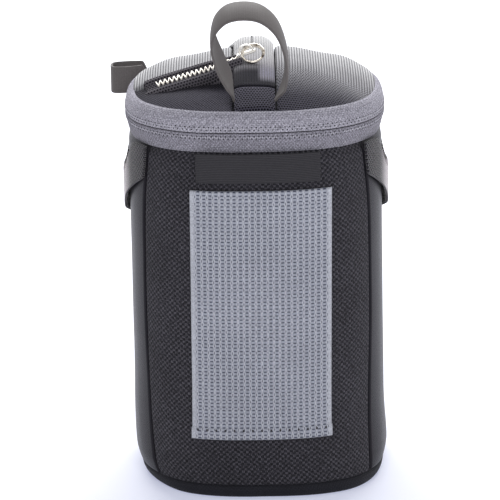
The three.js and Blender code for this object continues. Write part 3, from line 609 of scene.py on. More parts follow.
def wallOut(height, depth=0.0):  # how far the wall stands out past the plan's half width
    share = max(0.0, 1 - height / pouch["bellyTop"])
    radius = max(pouch["footRadius"] - depth, 0.0)
    below = min(max(pouch["footTop"] - height, 0.0), radius)
    rounding = radius - sqrt(radius * radius - below * below)
    return pouch["bellyGain"] * share * share - depth - rounding


def wallPoint(angle, height, out=0.0):
    return planPoint(angle, pouch["half"] + wallOut(height) + out, height)


def footHeight(length):  # height of the wall at a length up from the bottom of its rounded foot
    arc = pouch["footRadius"] * pi / 2
    if length < arc:
        return pouch["footTop"] - pouch["footRadius"] * cos(length / pouch["footRadius"])
    return pouch["footTop"] + length - arc


def planHalf(x, y):
    return (abs(x) ** pouch["power"] + abs(y) ** pouch["power"]) ** (1 / pouch["power"])


def ramp(value, low, high):  # smooth 0 to 1
    share = min(max((value - low) / (high - low), 0.0), 1.0)
    return share * share * (3 - 2 * share)


def domeHeight(x, y, sink=0.0):
    half = planHalf(x, y)
    share = min(half / pouch["domeHalf"], 1) ** pouch["domePower"]
    back = min(max(y / pouch["domeHalf"], 0.0), 1.0)
    swell = pouch["backSwell"] * sin(min(back * 2, 1) * pi / 2) * (1 - share)
    if sink < pouch["backSink"]:
        sink *= 1 - back
    side, rear, edge = pouch["rimSpans"]
    corner = ramp(abs(x), *side) * ramp(y, *rear) * ramp(half, *edge)
    swell += pouch["rimLift"] * corner
    return pouch["domeTop"] - sink - (pouch["domeRise"] - sink) * share + swell


def ease(share, amount=0.6):  # packs rows closer at both ends
    return share - amount * sin(turn * share) / turn


def tuck(distance, radius):  # how far a rounded edge dips at a distance from that edge
    if distance >= radius:
        return 0.0
    rest = radius - max(distance, 0.0)
    return radius - sqrt(radius * radius - rest * rest)


footSet = {  # each change grows towards the floor, over a span of minus the height
    "corner": -0.012,  # below 0, so the corners stand out
    "cornerFade": (-0.014, 0.001),
    "side": 0.0028,  # how far the sides draw in at the floor
    "sideSpan": (0.03, 0.052),
    "sideFade": (-0.013, 0),
    "lean": 0.0011,
    "leanFade": (-0.034, 0),
    "frontLean": 0.0015,  # more of it at the front
    "frontSpan": (0.01, 0.04),
}


def settle(piece):  # squares the corners of the foot, draws its sides in and leans it to the right
    for vert in piece.data.vertices:
        x, y, z = vert.co
        foot = ramp(-z, *footSet["cornerFade"])
        pull = 1 - footSet["corner"] * abs(sin(2 * atan2(y, x))) * foot
        side = ramp(abs(x), *footSet["sideSpan"]) * ramp(-z, *footSet["sideFade"])
        side *= footSet["side"]
        lean = footSet["lean"] * ramp(-z, *footSet["leanFade"])
        lean += footSet["frontLean"] * foot * ramp(-y, *footSet["frontSpan"])
        vert.co.x = x * pull + lean - side * (1 if x > 0 else -1)
        vert.co.y = y * pull


def ripple(point, size, scale):
    return noise.noise(Vector(point) * scale) * size


def lookUp(table, share):  # smooth line through evenly shared rows of a table
    last = len(table) - 1
    at = min(max(share, 0.0), 1.0) * last
    low = min(int(at), last - 1)
    part = at - low
    rows = [table[min(max(low + step, 0), last)] for step in (-1, 0, 1, 2)]
    return [0.5 * (2 * b + (c - a) * part + (2 * a - 5 * b + 4 * c - d) * part ** 2
                   + (3 * b - a - 3 * c + d) * part ** 3) for a, b, c, d in zip(*rows)]


def newPiece(name, bm):
    mesh = bpy.data.meshes.new(name)
    bm.to_mesh(mesh)
    bm.free()
    mesh.polygons.foreach_set("use_smooth", [True] * len(mesh.polygons))
    return addObject(name, mesh)


def lengths(points):
    out = [0.0]
    for first, second in zip(points, points[1:]):
        out.append(out[-1] + (second - first).length)
    return out


def gridMesh(columns, rows, place, closedAcross=False, closedUp=False, pitch=None, flat=None):
    bm = bmesh.new()
    uv = bm.loops.layers.uv.new("cloth")
    bmesh.ops.create_grid(bm, x_segments=columns, y_segments=rows, size=0.5)
    spot, point = {}, {}
    for vert in bm.verts:
        at = round((vert.co.x + 0.5) * columns), round((vert.co.y + 0.5) * rows)
        vert.co = place(at[0] / columns, at[1] / rows)
        spot[vert], point[at] = at, vert.co
    across = lengths([point[column, rows // 2] for column in range(columns + 1)])
    up = lengths([point[columns // 2, row] for row in range(rows + 1)])
    if flat:  # the pattern keeps the flat cloth's width and length
        across = [flat[0] * column / columns for column in range(columns + 1)]
        up = [flat[1] * row / rows for row in range(rows + 1)]
    stretch = 1.0
    if pitch:  # a closed cloth's pattern meets itself
        stretch = max(1, round(across[-1] / pitch)) * pitch / across[-1]
    for face in bm.faces:
        for loop in face.loops:
            column, row = spot[loop.vert]
            loop[uv].uv = (across[column] * stretch, up[row])
    if closedAcross or closedUp:
        bmesh.ops.remove_doubles(bm, verts=bm.verts, dist=1e-6)
    return bm


def solidify(piece, thickness, offset=-1.0):
    made = piece.modifiers.new("thickness", "SOLIDIFY")
    made.thickness = thickness
    made.offset = offset


def soften(piece, width):
    made = piece.modifiers.new("softEdges", "BEVEL")
    made.width = width
    made.segments = 2
    made.limit_method = "ANGLE"
    made.angle_limit = radians(40)


def dress(piece, material, body, nodes=()):
    piece.data.materials.clear()
    piece.data.materials.append(finish[material])
    if body:
        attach(piece, body)
    if nodes:
        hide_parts(*nodes)
    return piece


def ringPiece(name, section, closed=False):  # sweeps (half width, height) points round the plan
    points = section + section[:1] if closed else section
    count = len(points) - 1

    def place(across, up):
        half, height = points[round(up * count)]
        return planPoint(across * turn, half, height)

    bm = gridMesh(120, count, place, True, closed)
    bmesh.ops.dissolve_degenerate(bm, edges=bm.edges, dist=1e-7)
    bmesh.ops.recalc_face_normals(bm, faces=bm.faces)
    return newPiece(name, bm)


def faceUp(bm):
    bmesh.ops.recalc_face_normals(bm, faces=bm.faces)
    if sum(face.normal.z for face in bm.faces) < 0:
        bmesh.ops.reverse_faces(bm, faces=bm.faces)


def stitchRow(name, spots, size, material, body):  # spots are (place, along, out)
    bm = bmesh.new()
    for place, along, out in spots:
        along = along.normalized()
        out = (out - along * out.dot(along)).normalized()
        basis = Matrix((along, out.cross(along), out)).transposed().to_4x4()
        matrix = Matrix.Translation(place) @ basis @ Matrix.Diagonal((*size, 1))
        bmesh.ops.create_icosphere(bm, subdivisions=1, radius=1, matrix=matrix)
    return dress(newPiece(name, bm), material, body)


# body panels, sewn between two side seams
panelSet = {
    # degrees from the side, from foot to band
    "seam": [(39.0,), (36.6,), (34.9,), (33.8,), (34.0,), (35.2,), (39.0,)],
    "baseSeam": 0.0076,  # along the foot, where the base fabric ends
    "seamRadius": 0.0013,
    "seamGap": 0.0004,
    "arcRadius": 0.0565,  # turns a panel's angle into its width
    "footTuck": 0.001,
    "topTuck": 0.0016,  # goes under the band
    "topSpan": (-0.006, -0.001),
    "thickness": 0.0011,
    "puff": 0.0004,
    "puffEdge": 0.012,
    "ripple": 0.0002,
    "columns": 56,
    "rows": 84,
}


def seamAngle(height):
    return radians(lookUp(panelSet["seam"], height / pouch["panelTop"])[0])


def wallPanel(name, node, material, spans):
    base, top = panelSet["baseSeam"], pouch["panelTop"]
    longest = pouch["footRadius"] * pi / 2 + top - pouch["footTop"]
    inset = panelSet["seamGap"] / 2 / pouch["half"]

    def place(across, up):
        length = base + (longest - base) * ease(up)
        height = footHeight(length)
        start, end = spans(seamAngle(height))
        share = ease(across, 0.75)
        angle = start + inset + (end - start - inset * 2) * share
        edge = min(share, 1 - share) * (end - start) * panelSet["arcRadius"]
        dip = tuck(edge, panelSet["seamRadius"]) + tuck(length - base, panelSet["footTuck"])
        dip += panelSet["topTuck"] * ramp(height - top, *panelSet["topSpan"])
        swell = panelSet["puff"] * min(edge / panelSet["puffEdge"], 1) * min(up * 6, 1)
        swell += ripple((angle * 2, height * 30, 0), panelSet["ripple"], 1.0)
        return wallPoint(angle, height, swell - dip)

    piece = newPiece(name, gridMesh(panelSet["columns"], panelSet["rows"], place))
    settle(piece)
    solidify(piece, panelSet["thickness"])
    dress(piece, material, "case", [node])


wallPanel("frontPanel", "front_panel", "ballisticWeave",
          lambda seam: (-pi + seam, -seam))
wallPanel("rightSidePanel", "right_side_panel", "sideFabric",
          lambda seam: (-seam, seam))
wallPanel("backPanel", "back_panel", "ballisticWeave",
          lambda seam: (seam, pi - seam))
wallPanel("leftSidePanel", "left_side_panel", "sideFabric",
          lambda seam: (pi - seam, pi + seam))
print("body panels ready")

# base, padding and lining
innerSet = {
    "floorHalf": 0.0425,  # the flat part under the foot
    "basePanel": 0.0012,
    "footTuck": 0.0009,
    "padOut": 0.0016,  # how deep a pad's outer and inner side lie in the wall
    "padIn": 0.0066,
    "low": 0.0076,
    "padTop": 0.1547,
    "basePadLow": 0.002,
    "liningTop": 0.15465,
    "lining": (0.0455, 0.0447),  # its outer and inner half width
    "liningFloor": 0.0008,
}


def makeBasePanel():
    half, seam, steps = innerSet["floorHalf"], panelSet["baseSeam"], 8
    section = [(0.0, 0.0), (0.02, 0.0), (half, 0.0), (half + 0.001, 0.0001)]
    for step in range(steps + 1):
        length = seam * (0.12 + 0.88 * step / steps)
        height = footHeight(length)
        dip = tuck(seam - length, innerSet["footTuck"])
        section.append((pouch["half"] + wallOut(height) - dip, height))
    section += [(out - 0.0011, height + 0.0009) for out, height in section[:3:-2]]
    section += [(half, innerSet["basePanel"]), (0.0, innerSet["basePanel"])]
    piece = ringPiece("basePanel", section)
    settle(piece)
    dress(piece, "baseFabric", "case", ["base_panel"])


def layerLine(depth, low, high, count):
    heights = [low + (high - low) * step / count for step in range(count + 1)]
    return [(pouch["half"] + wallOut(height, depth), height) for height in heights]


def makePad(name, section, closed, node):
    piece = ringPiece(name, section, closed)
    settle(piece)
    dress(piece, "foamCore", "case", [node])


def makePadding():
    low, high = innerSet["low"], innerSet["padTop"]
    outer, inner = (layerLine(innerSet[side], low, high, 26) for side in ("padOut", "padIn"))
    crest = [((outer[-1][0] + inner[-1][0]) / 2, high + 0.0003)]
    makePad("wallPadding", outer + crest + inner[::-1], True, "wall_padding")
    low = innerSet["basePadLow"]
    side = layerLine(innerSet["padOut"], low, 0.0071, 6)
    top = [(0.047, 0.0072), (0.03, 0.0073), (0.0, 0.0074)]
    makePad("basePadding", [(0.0, low), (0.03, low)] + side + top, False, "base_padding")


def makeLining():
    low, high, thick = innerSet["low"], innerSet["liningTop"], innerSet["liningFloor"]
    outer, inner = innerSet["lining"]
    section = [(0.0, low), (0.02, low), (0.04, low), (0.0446, low), (outer, low + 0.0009)]
    section += [(outer, low + (high - low) * step / 18) for step in range(1, 19)]
    section += [(inner, high - (high - low) * step / 18) for step in range(18)]
    section += [(inner, low + 0.0017)] + [(half, low + thick) for half in (0.0437, 0.03, 0.0)]
    piece = ringPiece("bodyLining", section)
    settle(piece)
    dress(piece, "liningCloth", "case", ["lining"])


makeBasePanel()
makePadding()
makeLining()
print("base, padding and lining ready")

# rim band: two tapes and their coils
bandSet = {
    "tape": 0.00095,
    "ripple": 0.00015,
    "stitches": 356,
    "stitchNear": 0.0013,  # from the zip line
    "stitchFar": 0.0024,
    "stitch": (0.00058, 0.00022, 0.00018),
    "needleHole": (0.00036, 0.00034, 0.00013),
    "coilOut": 0.0003,
    "coilUp": 0.00065,
    "coilTurns": 210,
    "coilReach": (0.0005, 0.00038),  # across and up
    "coilWire": 0.00026,
    # rows of (out from the plan, height), upwards
    "lower": [(-0.0006, 0.148), (-0.0003, 0.1484), (0.0003, 0.1502), (0.0009, 0.1526),
              (0.0014, 0.1546), (0.00155, 0.1561), (0.0011, 0.15632)],
    "upper": [(0.0011, 0.15668), (0.00155, 0.1569), (0.0015, 0.159), (0.0011, 0.1612),
              (0.0003, 0.163), (-0.0009, 0.1643), (-0.0019, 0.1648), (-0.0026, 0.1643)],
}


def bandPoint(line, across, up):
    out, height = lookUp(bandSet[line], up)
    return planPoint(across * turn, pouch["half"] + out, height)


def makeTape(name, line, material, node, body):
    def place(across, up):
        point = bandPoint(line, across, up)
        return point + point.normalized() * ripple(point, bandSet["ripple"], 90.0)

    piece = newPiece(name, gridMesh(240, 18, place, True, pitch=0.00112))
    solidify(piece, bandSet["tape"])
    dress(piece, material, body, [node])


def bandAt(line, across, height):  # the band's face at a height, with its two directions
    share = (height - bandSet[line][0][1]) / (bandSet[line][-2][1] - bandSet[line][0][1])
    for _ in range(12):
        share += (height - bandPoint(line, across, share).z) / 0.01
    along = bandPoint(line, across + 0.002, share) - bandPoint(line, across - 0.002, share)
    up = bandPoint(line, across, share + 0.03) - bandPoint(line, across, share - 0.03)
    return bandPoint(line, across, share), along.normalized(), up.normalized()


def bandStitches(name, line, body, side):  # one zigzag row, and dark beads at its points as painted shade in the needle holes
    near, far = bandSet["stitchNear"], bandSet["stitchFar"]
    middle = pouch["zipHeight"] + side * (near + far) / 2
    strokes, holes = [], []
    count = bandSet["stitches"]
    for at in range(count):
        across = (at + noise.noise(Vector((at, side, 3.1))) * 0.2) / count
        place, along, up = bandAt(line, across, middle)
        lean = 1 if at % 2 else -1
        strokes.append((place, up * 1.1 + along * lean, along.cross(up)))
        height = pouch["zipHeight"] + side * (far if at % 2 else near)
        place, along, up = bandAt(line, (at + 0.5) / count, height)
        holes.append((place, along, along.cross(up)))
    stitchRow(name + "Stitches", strokes, bandSet["stitch"], "paleThread", body)
    stitchRow(name + "NeedleHoles", holes, bandSet["needleHole"], "needleHole", body)


def makeCoil(name, node, body, low):
    turns, sides, steps = bandSet["coilTurns"], 6, 6
    wire, (outReach, upReach) = bandSet["coilWire"], bandSet["coilReach"]

    def place(across, up):
        spiral, around = across * turns * turn, up * turn
        centre = planPoint(across * turn, pouch["half"] + bandSet["coilOut"])
        out = centre.normalized()
        centre += out * outReach * cos(spiral)
        centre.z = low + bandSet["coilUp"] + upReach * sin(spiral)
        return centre + out * wire * cos(around) + Vector((0, 0, wire * sin(around)))

    piece = newPiece(name, gridMesh(turns * steps, sides, place, True, True))
    dress(piece, "darkPlastic", body, [node])


makeTape("lowerZipTape", "lower", "bandTape", "lower_zip_tape", "case")
makeTape("upperZipTape", "upper", "bandTapeUpperLit", "upper_zip_tape", "lid")
bandStitches("lowerBand", "lower", "case", -1)
bandStitches("upperBand", "upper", "lid", 1)
makeCoil("lowerZipCoil", "lower_zip_coil", "case", 0.15505)
makeCoil("upperZipCoil", "upper_zip_coil", "lid", 0.15665)
print("rim band ready")

# lid covers, cut from one dome
lidSet = {
    "stripHalf": 0.0084,
    "seamGap": 0.0003,
    "cover": 0.0015,
    "pocketSeamY": -0.0076,
    "pocketSink": 0.0084,
    "zipSink": 0.001,
    "seamRadius": 0.0022,
    "seamDip": 0.8,
    "seamCuts": (0.0005, 0.001, 0.0017, 0.0028, 0.0045),  # rows of points along a seam
    "ripple": 0.0005,
    "stripBackRise": 0.0032,
    "stripCrown": 0.001,
    "stripRipple": 0.0003,
    "stripEnd": 0.0012,  # radius of its outer ends
    "stripSplit": 0.0006,  # radius where its two lengths meet
    "stripFlare": 0.0024,  # the strip is wider on the left at the rear
    "flareSpan": (0.014, 0.034),
    "seamX": -0.0006,
    "seamFrom": -0.003,
    "seamWide": 0.0007,
    "seamStitches": 14,
    "seamPitch": 0.0022,
    "seamStitch": (0.0009, 0.00028, 0.0003),
    "padLow": 0.1582,
    "padHalf": 0.047,
    "padTop": 0.1712,
    "padRise": 0.0085,
    "padCut": (-0.0062, -0.0052),  # left and in front of it the padding stays under the sunk cover
    "padClear": 0.0022,
    "liningLow": 0.15668,
    "lining": 0.0011,
    "bag": 0.0007,
    "bagSink": 0.0024,
}


def bisect(bm, place, normal, clear=False):  # clear keeps only what lies on the normal's side
    bmesh.ops.bisect_plane(bm, geom=bm.verts[:] + bm.edges[:] + bm.faces[:], plane_co=place,
                           plane_no=normal, clear_inner=clear, dist=1e-7)


def domeSheet(name, sink, edges, reach):  # edges are (point, inward normal) of each seam
    def place(across, up):
        return planPoint(across * turn, reach * sin(up * pi / 2) ** 0.9)

    bm = gridMesh(132, 26, place, True)
    bmesh.ops.reverse_faces(bm, faces=bm.faces)
    for point, normal in edges:
        bisect(bm, point, normal, True)
        for step in lidSet["seamCuts"]:
            bisect(bm, Vector(point) + Vector(normal) * step, normal)
    uv = bm.loops.layers.uv.verify()
    for face in bm.faces:
        for loop in face.loops:
            loop[uv].uv = (loop.vert.co.x, loop.vert.co.y)
    for vert in bm.verts:
        x, y = vert.co.x, vert.co.y
        dip = 0.0
        for point, normal in edges:
            distance = (vert.co - Vector(point)).dot(Vector(normal))
            dip += tuck(distance, lidSet["seamRadius"]) * lidSet["seamDip"]
        vert.co.z = domeHeight(x, y, sink) - dip + ripple((x, y, 0.3), lidSet["ripple"], 70.0)
    faceUp(bm)
    return newPiece(name, bm)


def coverPiece(name, node, sink, edges, material="lidMesh"):
    piece = domeSheet(name, sink, edges, pouch["domeHalf"])
    solidify(piece, lidSet["cover"])
    dress(piece, material, "lid", [node])


stripSide = lidSet["stripHalf"] + lidSet["seamGap"]
halfGap = lidSet["seamGap"] / 2
leftEdge = ((-stripSide, 0, 0), (-1, 0, 0))
rightEdge = ((stripSide, 0, 0), (1, 0, 0))
rearEdge = ((0, lidSet["pocketSeamY"] + halfGap, 0), (0, 1, 0))
frontEdge = ((0, lidSet["pocketSeamY"] - halfGap, 0), (0, -1, 0))
coverPiece("rightCover", "right_cover", 0.0, [rightEdge])
coverPiece("leftRearCover", "left_rear_cover", lidSet["zipSink"], [leftEdge, rearEdge])
coverPiece("leftFrontCover", "left_front_cover", lidSet["pocketSink"], [leftEdge, frontEdge],
           "shadedSunkMesh")


def stripTop(x, y):
    back = max(0.0, y / pouch["domeHalf"])
    rise = lidSet["stripBackRise"] * sin(min(back * 1.3 + 0.08, 1) * pi)
    swell = rise if y > 0 else rise * max(0.0, 1 + y / lidSet["stripHalf"])
    share = x / lidSet["stripHalf"]
    crown = lidSet["stripCrown"] * (1 - share ** 4) + swell * (1 - abs(share) ** 3.6 * 0.85)
    return domeHeight(x, y) + crown


def stripPiece(name, node, near, far, rows, seam):
    def place(across, up):
        x = (ease(across, 0.5) * 2 - 1) * lidSet["stripHalf"]
        y = near + (far - near) * ease(up, 0.5)
        dip = tuck(min(y - near, far - y), lidSet["stripEnd" if abs(y) > 0.04 else "stripSplit"])
        if y > lidSet["seamFrom"]:
            dip += seam * max(0.0, 1 - abs(x - lidSet["seamX"]) / lidSet["seamWide"])
        z = stripTop(x, y) - dip + ripple((x, y, 1.7), lidSet["stripRipple"], 110.0)
        flare = ramp(y, *lidSet["flareSpan"]) * ramp(-x, 0, lidSet["stripHalf"])
        return Vector((x - lidSet["stripFlare"] * flare, y, z))

    piece = newPiece(name, gridMesh(36, rows, place))
    solidify(piece, lidSet["cover"])
    dress(piece, name + "Mesh", "lid", [node])


def makeStripSeam():
    spots = []
    for step in range(lidSet["seamStitches"]):
        y = lidSet["seamPitch"] * step - 0.002
        ahead = Vector((0, 0.001, stripTop(0, y + 0.001) - stripTop(0, y)))
        place = Vector((lidSet["seamX"], y, stripTop(0, y) - 0.0001))
        spots.append((place, ahead, Vector((0, 0, 1))))
    stitchRow("rearStripSeam", spots, lidSet["seamStitch"], "edgeBinding", "lid")


stripPiece("rearStrip", "rear_strip", -0.0353, 0.0485, 64, 0.0002)
makeStripSeam()
stripPiece("frontStrip", "front_strip", -0.0485, -0.0357, 14, 0.0)
print("lid covers ready")


def makeLidPadding():
    low, edge = lidSet["padLow"], lidSet["padHalf"]
    section = [(0.0, low), (0.024, low), (edge, low)]
    for step in range(13):
        half = edge * sin((1 - step / 12) * pi / 2)
        share = (half / pouch["domeHalf"]) ** pouch["domePower"]
        section.append((half, lidSet["padTop"] - lidSet["padRise"] * share))
    pad = ringPiece("lidPadding", section)
    cutX, cutY = lidSet["padCut"]
    for vert in pad.data.vertices:
        x, y, z = vert.co
        if x < cutX and y < cutY:
            under = domeHeight(x, y, lidSet["pocketSink"]) - lidSet["padClear"]
            vert.co.z = max(low, min(z, under))
    dress(pad, "foamCore", "lid", ["lid_padding"])


def makeLidLining():
    low = lidSet["liningLow"]
    high = low + lidSet["lining"]
    section = [(half, low) for half in (0.0, 0.02, 0.04, 0.0485)] + [(0.0491, low + 0.0004)]
    disc = ringPiece("lidLining", section + [(half, high) for half in (0.0489, 0.04, 0.0)])
    dress(disc, "liningCloth", "lid", ["lid_lining"])


def makePocketBag():
    edges = [((-stripSide - 0.0003, 0, 0), (-1, 0, 0)), ((0, -0.0066, 0), (0, 1, 0))]
    sink = lidSet["zipSink"] + lidSet["bagSink"]
    piece = domeSheet("pocketBag", sink, edges, pouch["domeHalf"] - 0.0036)
    solidify(piece, lidSet["bag"])
    dress(piece, "liningCloth", "lid", ["pocket_bag"])


makeLidPadding()
makeLidLining()
makePocketBag()

# pocket zip on the left of the lid, in its own frame with the zip along X
zipSet = {
    "end": (-0.003, -0.012, 0.1804),
    "slope": 16.0,
    "length": 0.0452,
    "nose": 0.0024,
    "tilt": 22.0,  # degrees that the ridge leans towards the front, away from its nose
    "tiltSpan": (0.006, 0.018),
    "leanDrop": 0.001,  # leaves the slider's plate clear of the leaning teeth
    "endDroop": 7.0,
    "droopFrom": 0.036,
    "endRadius": 0.0012,
    "seat": 0.0006,  # how deep the tape's skirt may go into the covers
    "tape": 0.0007,
    "teeth": 38,
    "toothPitch": 0.00098,
    "tooth": (0.00052, 0.0037, 0.0009),
    "toothBevel": 0.00022,
    "toothSeat": 0.00072,
    "toothTurn": 15,
    # the front half of the ridge's section, across the zip and up
    "line": [(-0.006, -0.014), (-0.0058, -0.008), (-0.0058, -0.003), (-0.0056, -0.0012),
             (-0.0049, -0.0002), (-0.0035, 0.0), (-0.0032, -0.0003), (-0.0032, -0.0013),
             (-0.0029, -0.0016), (-0.001, -0.0016)],
}
zipFrame = Matrix.Translation(zipSet["end"]) @ Matrix.Rotation(-radians(zipSet["slope"]), 4, "Y")


def zipTurn(x):  # the ridge's own lean at x, and its droop at the far end
    share = ramp(-x, *zipSet["tiltSpan"])
    lean = Matrix.Rotation(radians(zipSet["tilt"]) * share, 4, "X")
    low = zipSet["leanDrop"] * share
    low += zipSet["endDroop"] * max(0, -x - zipSet["droopFrom"]) ** 2
    return zipFrame @ Matrix.Translation((x, 0, -low)) @ lean


def makePocketTape():
    length = zipSet["length"]
    line = zipSet["line"] + [(-y, z) for y, z in zipSet["line"][::-1]]

    def place(across, up):
        y, z = lookUp(line, up)
        x = -length + (length - zipSet["nose"]) * across
        point = zipTurn(x) @ Vector((0, y, z - tuck(x + length, zipSet["endRadius"])))
        sink = lidSet["pocketSink"] if point.y < lidSet["pocketSeamY"] else lidSet["zipSink"]
        if planHalf(point.x, point.y) < pouch["domeHalf"]:
            point.z = max(point.z, domeHeight(point.x, point.y, sink) - zipSet["seat"])
        return point

    bm = gridMesh(54, 76, place)
    faceUp(bm)
    piece = newPiece("pocketZipTape", bm)
    solidify(piece, zipSet["tape"])
    dress(piece, "pocketNet", "lid", ["pocket_zip_tape"])


def bevelEdges(bm, edges, width):
    bmesh.ops.bevel(bm, geom=edges, offset=width, segments=2, profile=0.5, affect="EDGES",
                    material=-1)


def makePocketTeeth():  # slanted strokes that make one zigzag
    bm = bmesh.new()
    seat = Matrix.Translation((0, 0, -zipSet["toothSeat"]))
    for tooth in range(zipSet["teeth"]):
        x = -zipSet["nose"] - zipSet["toothPitch"] * (tooth + 0.5)
        lean = Matrix.Rotation(radians(zipSet["toothTurn"] * (1 if tooth % 2 else -1)), 4, "Z")
        shape = zipTurn(x) @ seat @ lean @ Matrix.Diagonal((*zipSet["tooth"], 1))
        made = bmesh.ops.create_cube(bm, size=1, matrix=shape)
        edges = {edge for vert in made["verts"] for edge in vert.link_edges}
        bevelEdges(bm, list(edges), zipSet["toothBevel"])
    dress(newPiece("pocketZipTeeth", bm), "toothMetal", "lid", ["pocket_zip_chain"])


makePocketTape()
makePocketTeeth()
print("pocket zip ready")

# sliders and ring
sliderSet = {
    "half": 0.0042, "wide": 0.0026, "plate": 0.0009, "floor": -0.0002, "bevel": 0.0003,
    # corners of the plate, as shares of its half length and half width
    "plan": [(-1, -0.6), (0.45, -1), (1, -0.55), (1, 0.55), (0.45, 1), (-1, 0.6)],
    "eyeHalf": 0.0028, "eyeRise": 0.0031, "eyeBar": (0.00045, 0.0008), "eyeSteps": 16,
    "eyeSink": 0.0002,
    "ring": 0.0044, "ringWire": 0.0005, "ringTurns": 1.9, "ringPitch": 0.0013,
    "ringSplay": 0.0006, "ringSteps": 88, "ringDroop": 23.0,
    "ringRoll": 21.0,  # lifts the ring's rear side clear of the zip
    "hinge": (-0.003606, -0.012, 0.182515), "hingeAxis": (-0.66779, -0.7193, -0.19149),
}


def sweepTube(bm, points, sides, ring):  # ring(point, step, angle) gives the skin of a closed tube
    rows = []
    for at, point in enumerate(points):
        rows.append([bm.verts.new(ring(point, at, turn * side / sides)) for side in range(sides)])
    for low, high in zip(rows, rows[1:]):
        for side in range(sides):
            after = (side + 1) % sides
            bm.faces.new((low[side], low[after], high[after], high[side]))
    bm.faces.new(rows[0][::-1])
    bm.faces.new(rows[-1])
    bmesh.ops.recalc_face_normals(bm, faces=bm.faces)


def makePocketSlider():
    bm = bmesh.new()
    half, wide, low = sliderSet["half"], sliderSet["wide"], sliderSet["floor"]
    for height in (low, low + sliderSet["plate"]):
        corners = [bm.verts.new((half * x, wide * y, height)) for x, y in sliderSet["plan"]]
        bm.faces.new(corners)
    bmesh.ops.bridge_loops(bm, edges=bm.edges[:])
    bmesh.ops.recalc_face_normals(bm, faces=bm.faces)
    bevelEdges(bm, bm.edges[:], sliderSet["bevel"])
    seat = low + sliderSet["plate"] - sliderSet["eyeSink"]
    thin, deep = sliderSet["eyeBar"]
    arch = []
    for step in range(sliderSet["eyeSteps"] + 1):
        angle = pi * step / sliderSet["eyeSteps"]
        rise = sin(angle) ** 0.7 * sliderSet["eyeRise"]
        arch.append(Vector((cos(angle) * sliderSet["eyeHalf"], 0, seat + rise)))

    def ring(point, at, angle):
        out = Vector((point.x, 0, point.z - seat)).normalized()
        return point + out * thin * cos(angle) + Vector((0, deep * sin(angle), 0))

    sweepTube(bm, arch, 10, ring)
    bm.transform(zipFrame)
    dress(newPiece("pocketSlider", bm), "knobMetal", "pocket_slider",
          ["pocket_slider"])


def makeSliderRing():  # a split ring of two turns, which hangs from the slider's eye
    hinge, axis = Vector(sliderSet["hinge"]), Vector(sliderSet["hingeAxis"]).normalized()
    low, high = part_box("slider_ring")
    away = (Vector(low) + Vector(high)) / 2 - hinge
    away = (away - axis * away.dot(axis)).normalized()
    droop = Matrix.Rotation(radians(sliderSet["ringDroop"]), 3, axis)
    away = min((droop @ away, droop.inverted() @ away), key=lambda way: way.z)
    rise = axis.cross(away)
    rise *= 1 if rise.z > 0 else -1
    roll, steps = radians(sliderSet["ringRoll"]), sliderSet["ringSteps"]
    across = axis * cos(roll) - rise * sin(roll)
    flat = across.cross(away)
    points = []
    for step in range(steps + 1):
        share = step / steps - 0.5
        angle = turn * sliderSet["ringTurns"] * share
        radius = sliderSet["ring"] + sliderSet["ringSplay"] * share
        middle = hinge + away * sliderSet["ring"] + flat * sliderSet["ringPitch"] * share
        points.append(middle + (away * cos(angle) + across * sin(angle)) * radius)

    def ring(point, at, angle):
        ahead = (points[min(at + 1, steps)] - points[max(at - 1, 0)]).normalized()
        out = ahead.cross(flat).normalized()
        return point + (out * cos(angle) + ahead.cross(out) * sin(angle)) * sliderSet["ringWire"]

    bm = bmesh.new()
    sweepTube(bm, points, 8, ring)
    dress(newPiece("sliderRing", bm), "sliderMetal", "slider_ring",
          ["slider_ring"])


makePocketSlider()
makeSliderRing()
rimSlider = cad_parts["rim_slider"]
rimSlider.data.materials.clear()
rimSlider.data.materials.append(finish["sliderMetal"])

# ribbons: grab loop and rim pull
grabSet = {
    "halfWidth": 0.0147, "shift": 0.0017, "height": 0.0446, "root": (0.0084, -0.044, 0.16786),
    "lean": 24.0, "width": 0.0125, "rootWidth": 0.0022, "taper": 0.011, "thickness": 0.0009,
    "bow": 0.0006, "twist": 0.2, "twistAt": 0.16, "twistSpan": 0.1,
    "middle": 0.55,  # share of the height that the ribbon bows away from
    "line": [(-0.56, 0.2), (-0.8, 0.42), (-1, 0.68), (-0.93, 0.84), (-0.62, 0.965), (-0.16, 1),
             (0.3, 0.965), (0.68, 0.84), (0.9, 0.66), (1, 0.44), (0.95, 0.2)],
}
pullSet = {
    "anchor": (-0.04595, 0.04863, 0.158), "width": 0.0116, "pinch": 0.0052,
    "pinchEnd": 0.0022, "sag": 0.03, "thickness": 0.0009,
    # outwards from the anchor and towards the front, round the folded ribbon
    "line": [(0.0, 0.0), (0.0, 0.0013), (0.0019, 0.0033), (0.0055, 0.005), (0.0105, 0.0054),
             (0.0138, 0.0048), (0.0152, 0.0022), (0.0152, -0.0022), (0.0138, -0.0048),
             (0.01, -0.0055), (0.0055, -0.0054), (0.0022, -0.0047), (0.0003, -0.0028), (0.0, 0.0)],
}


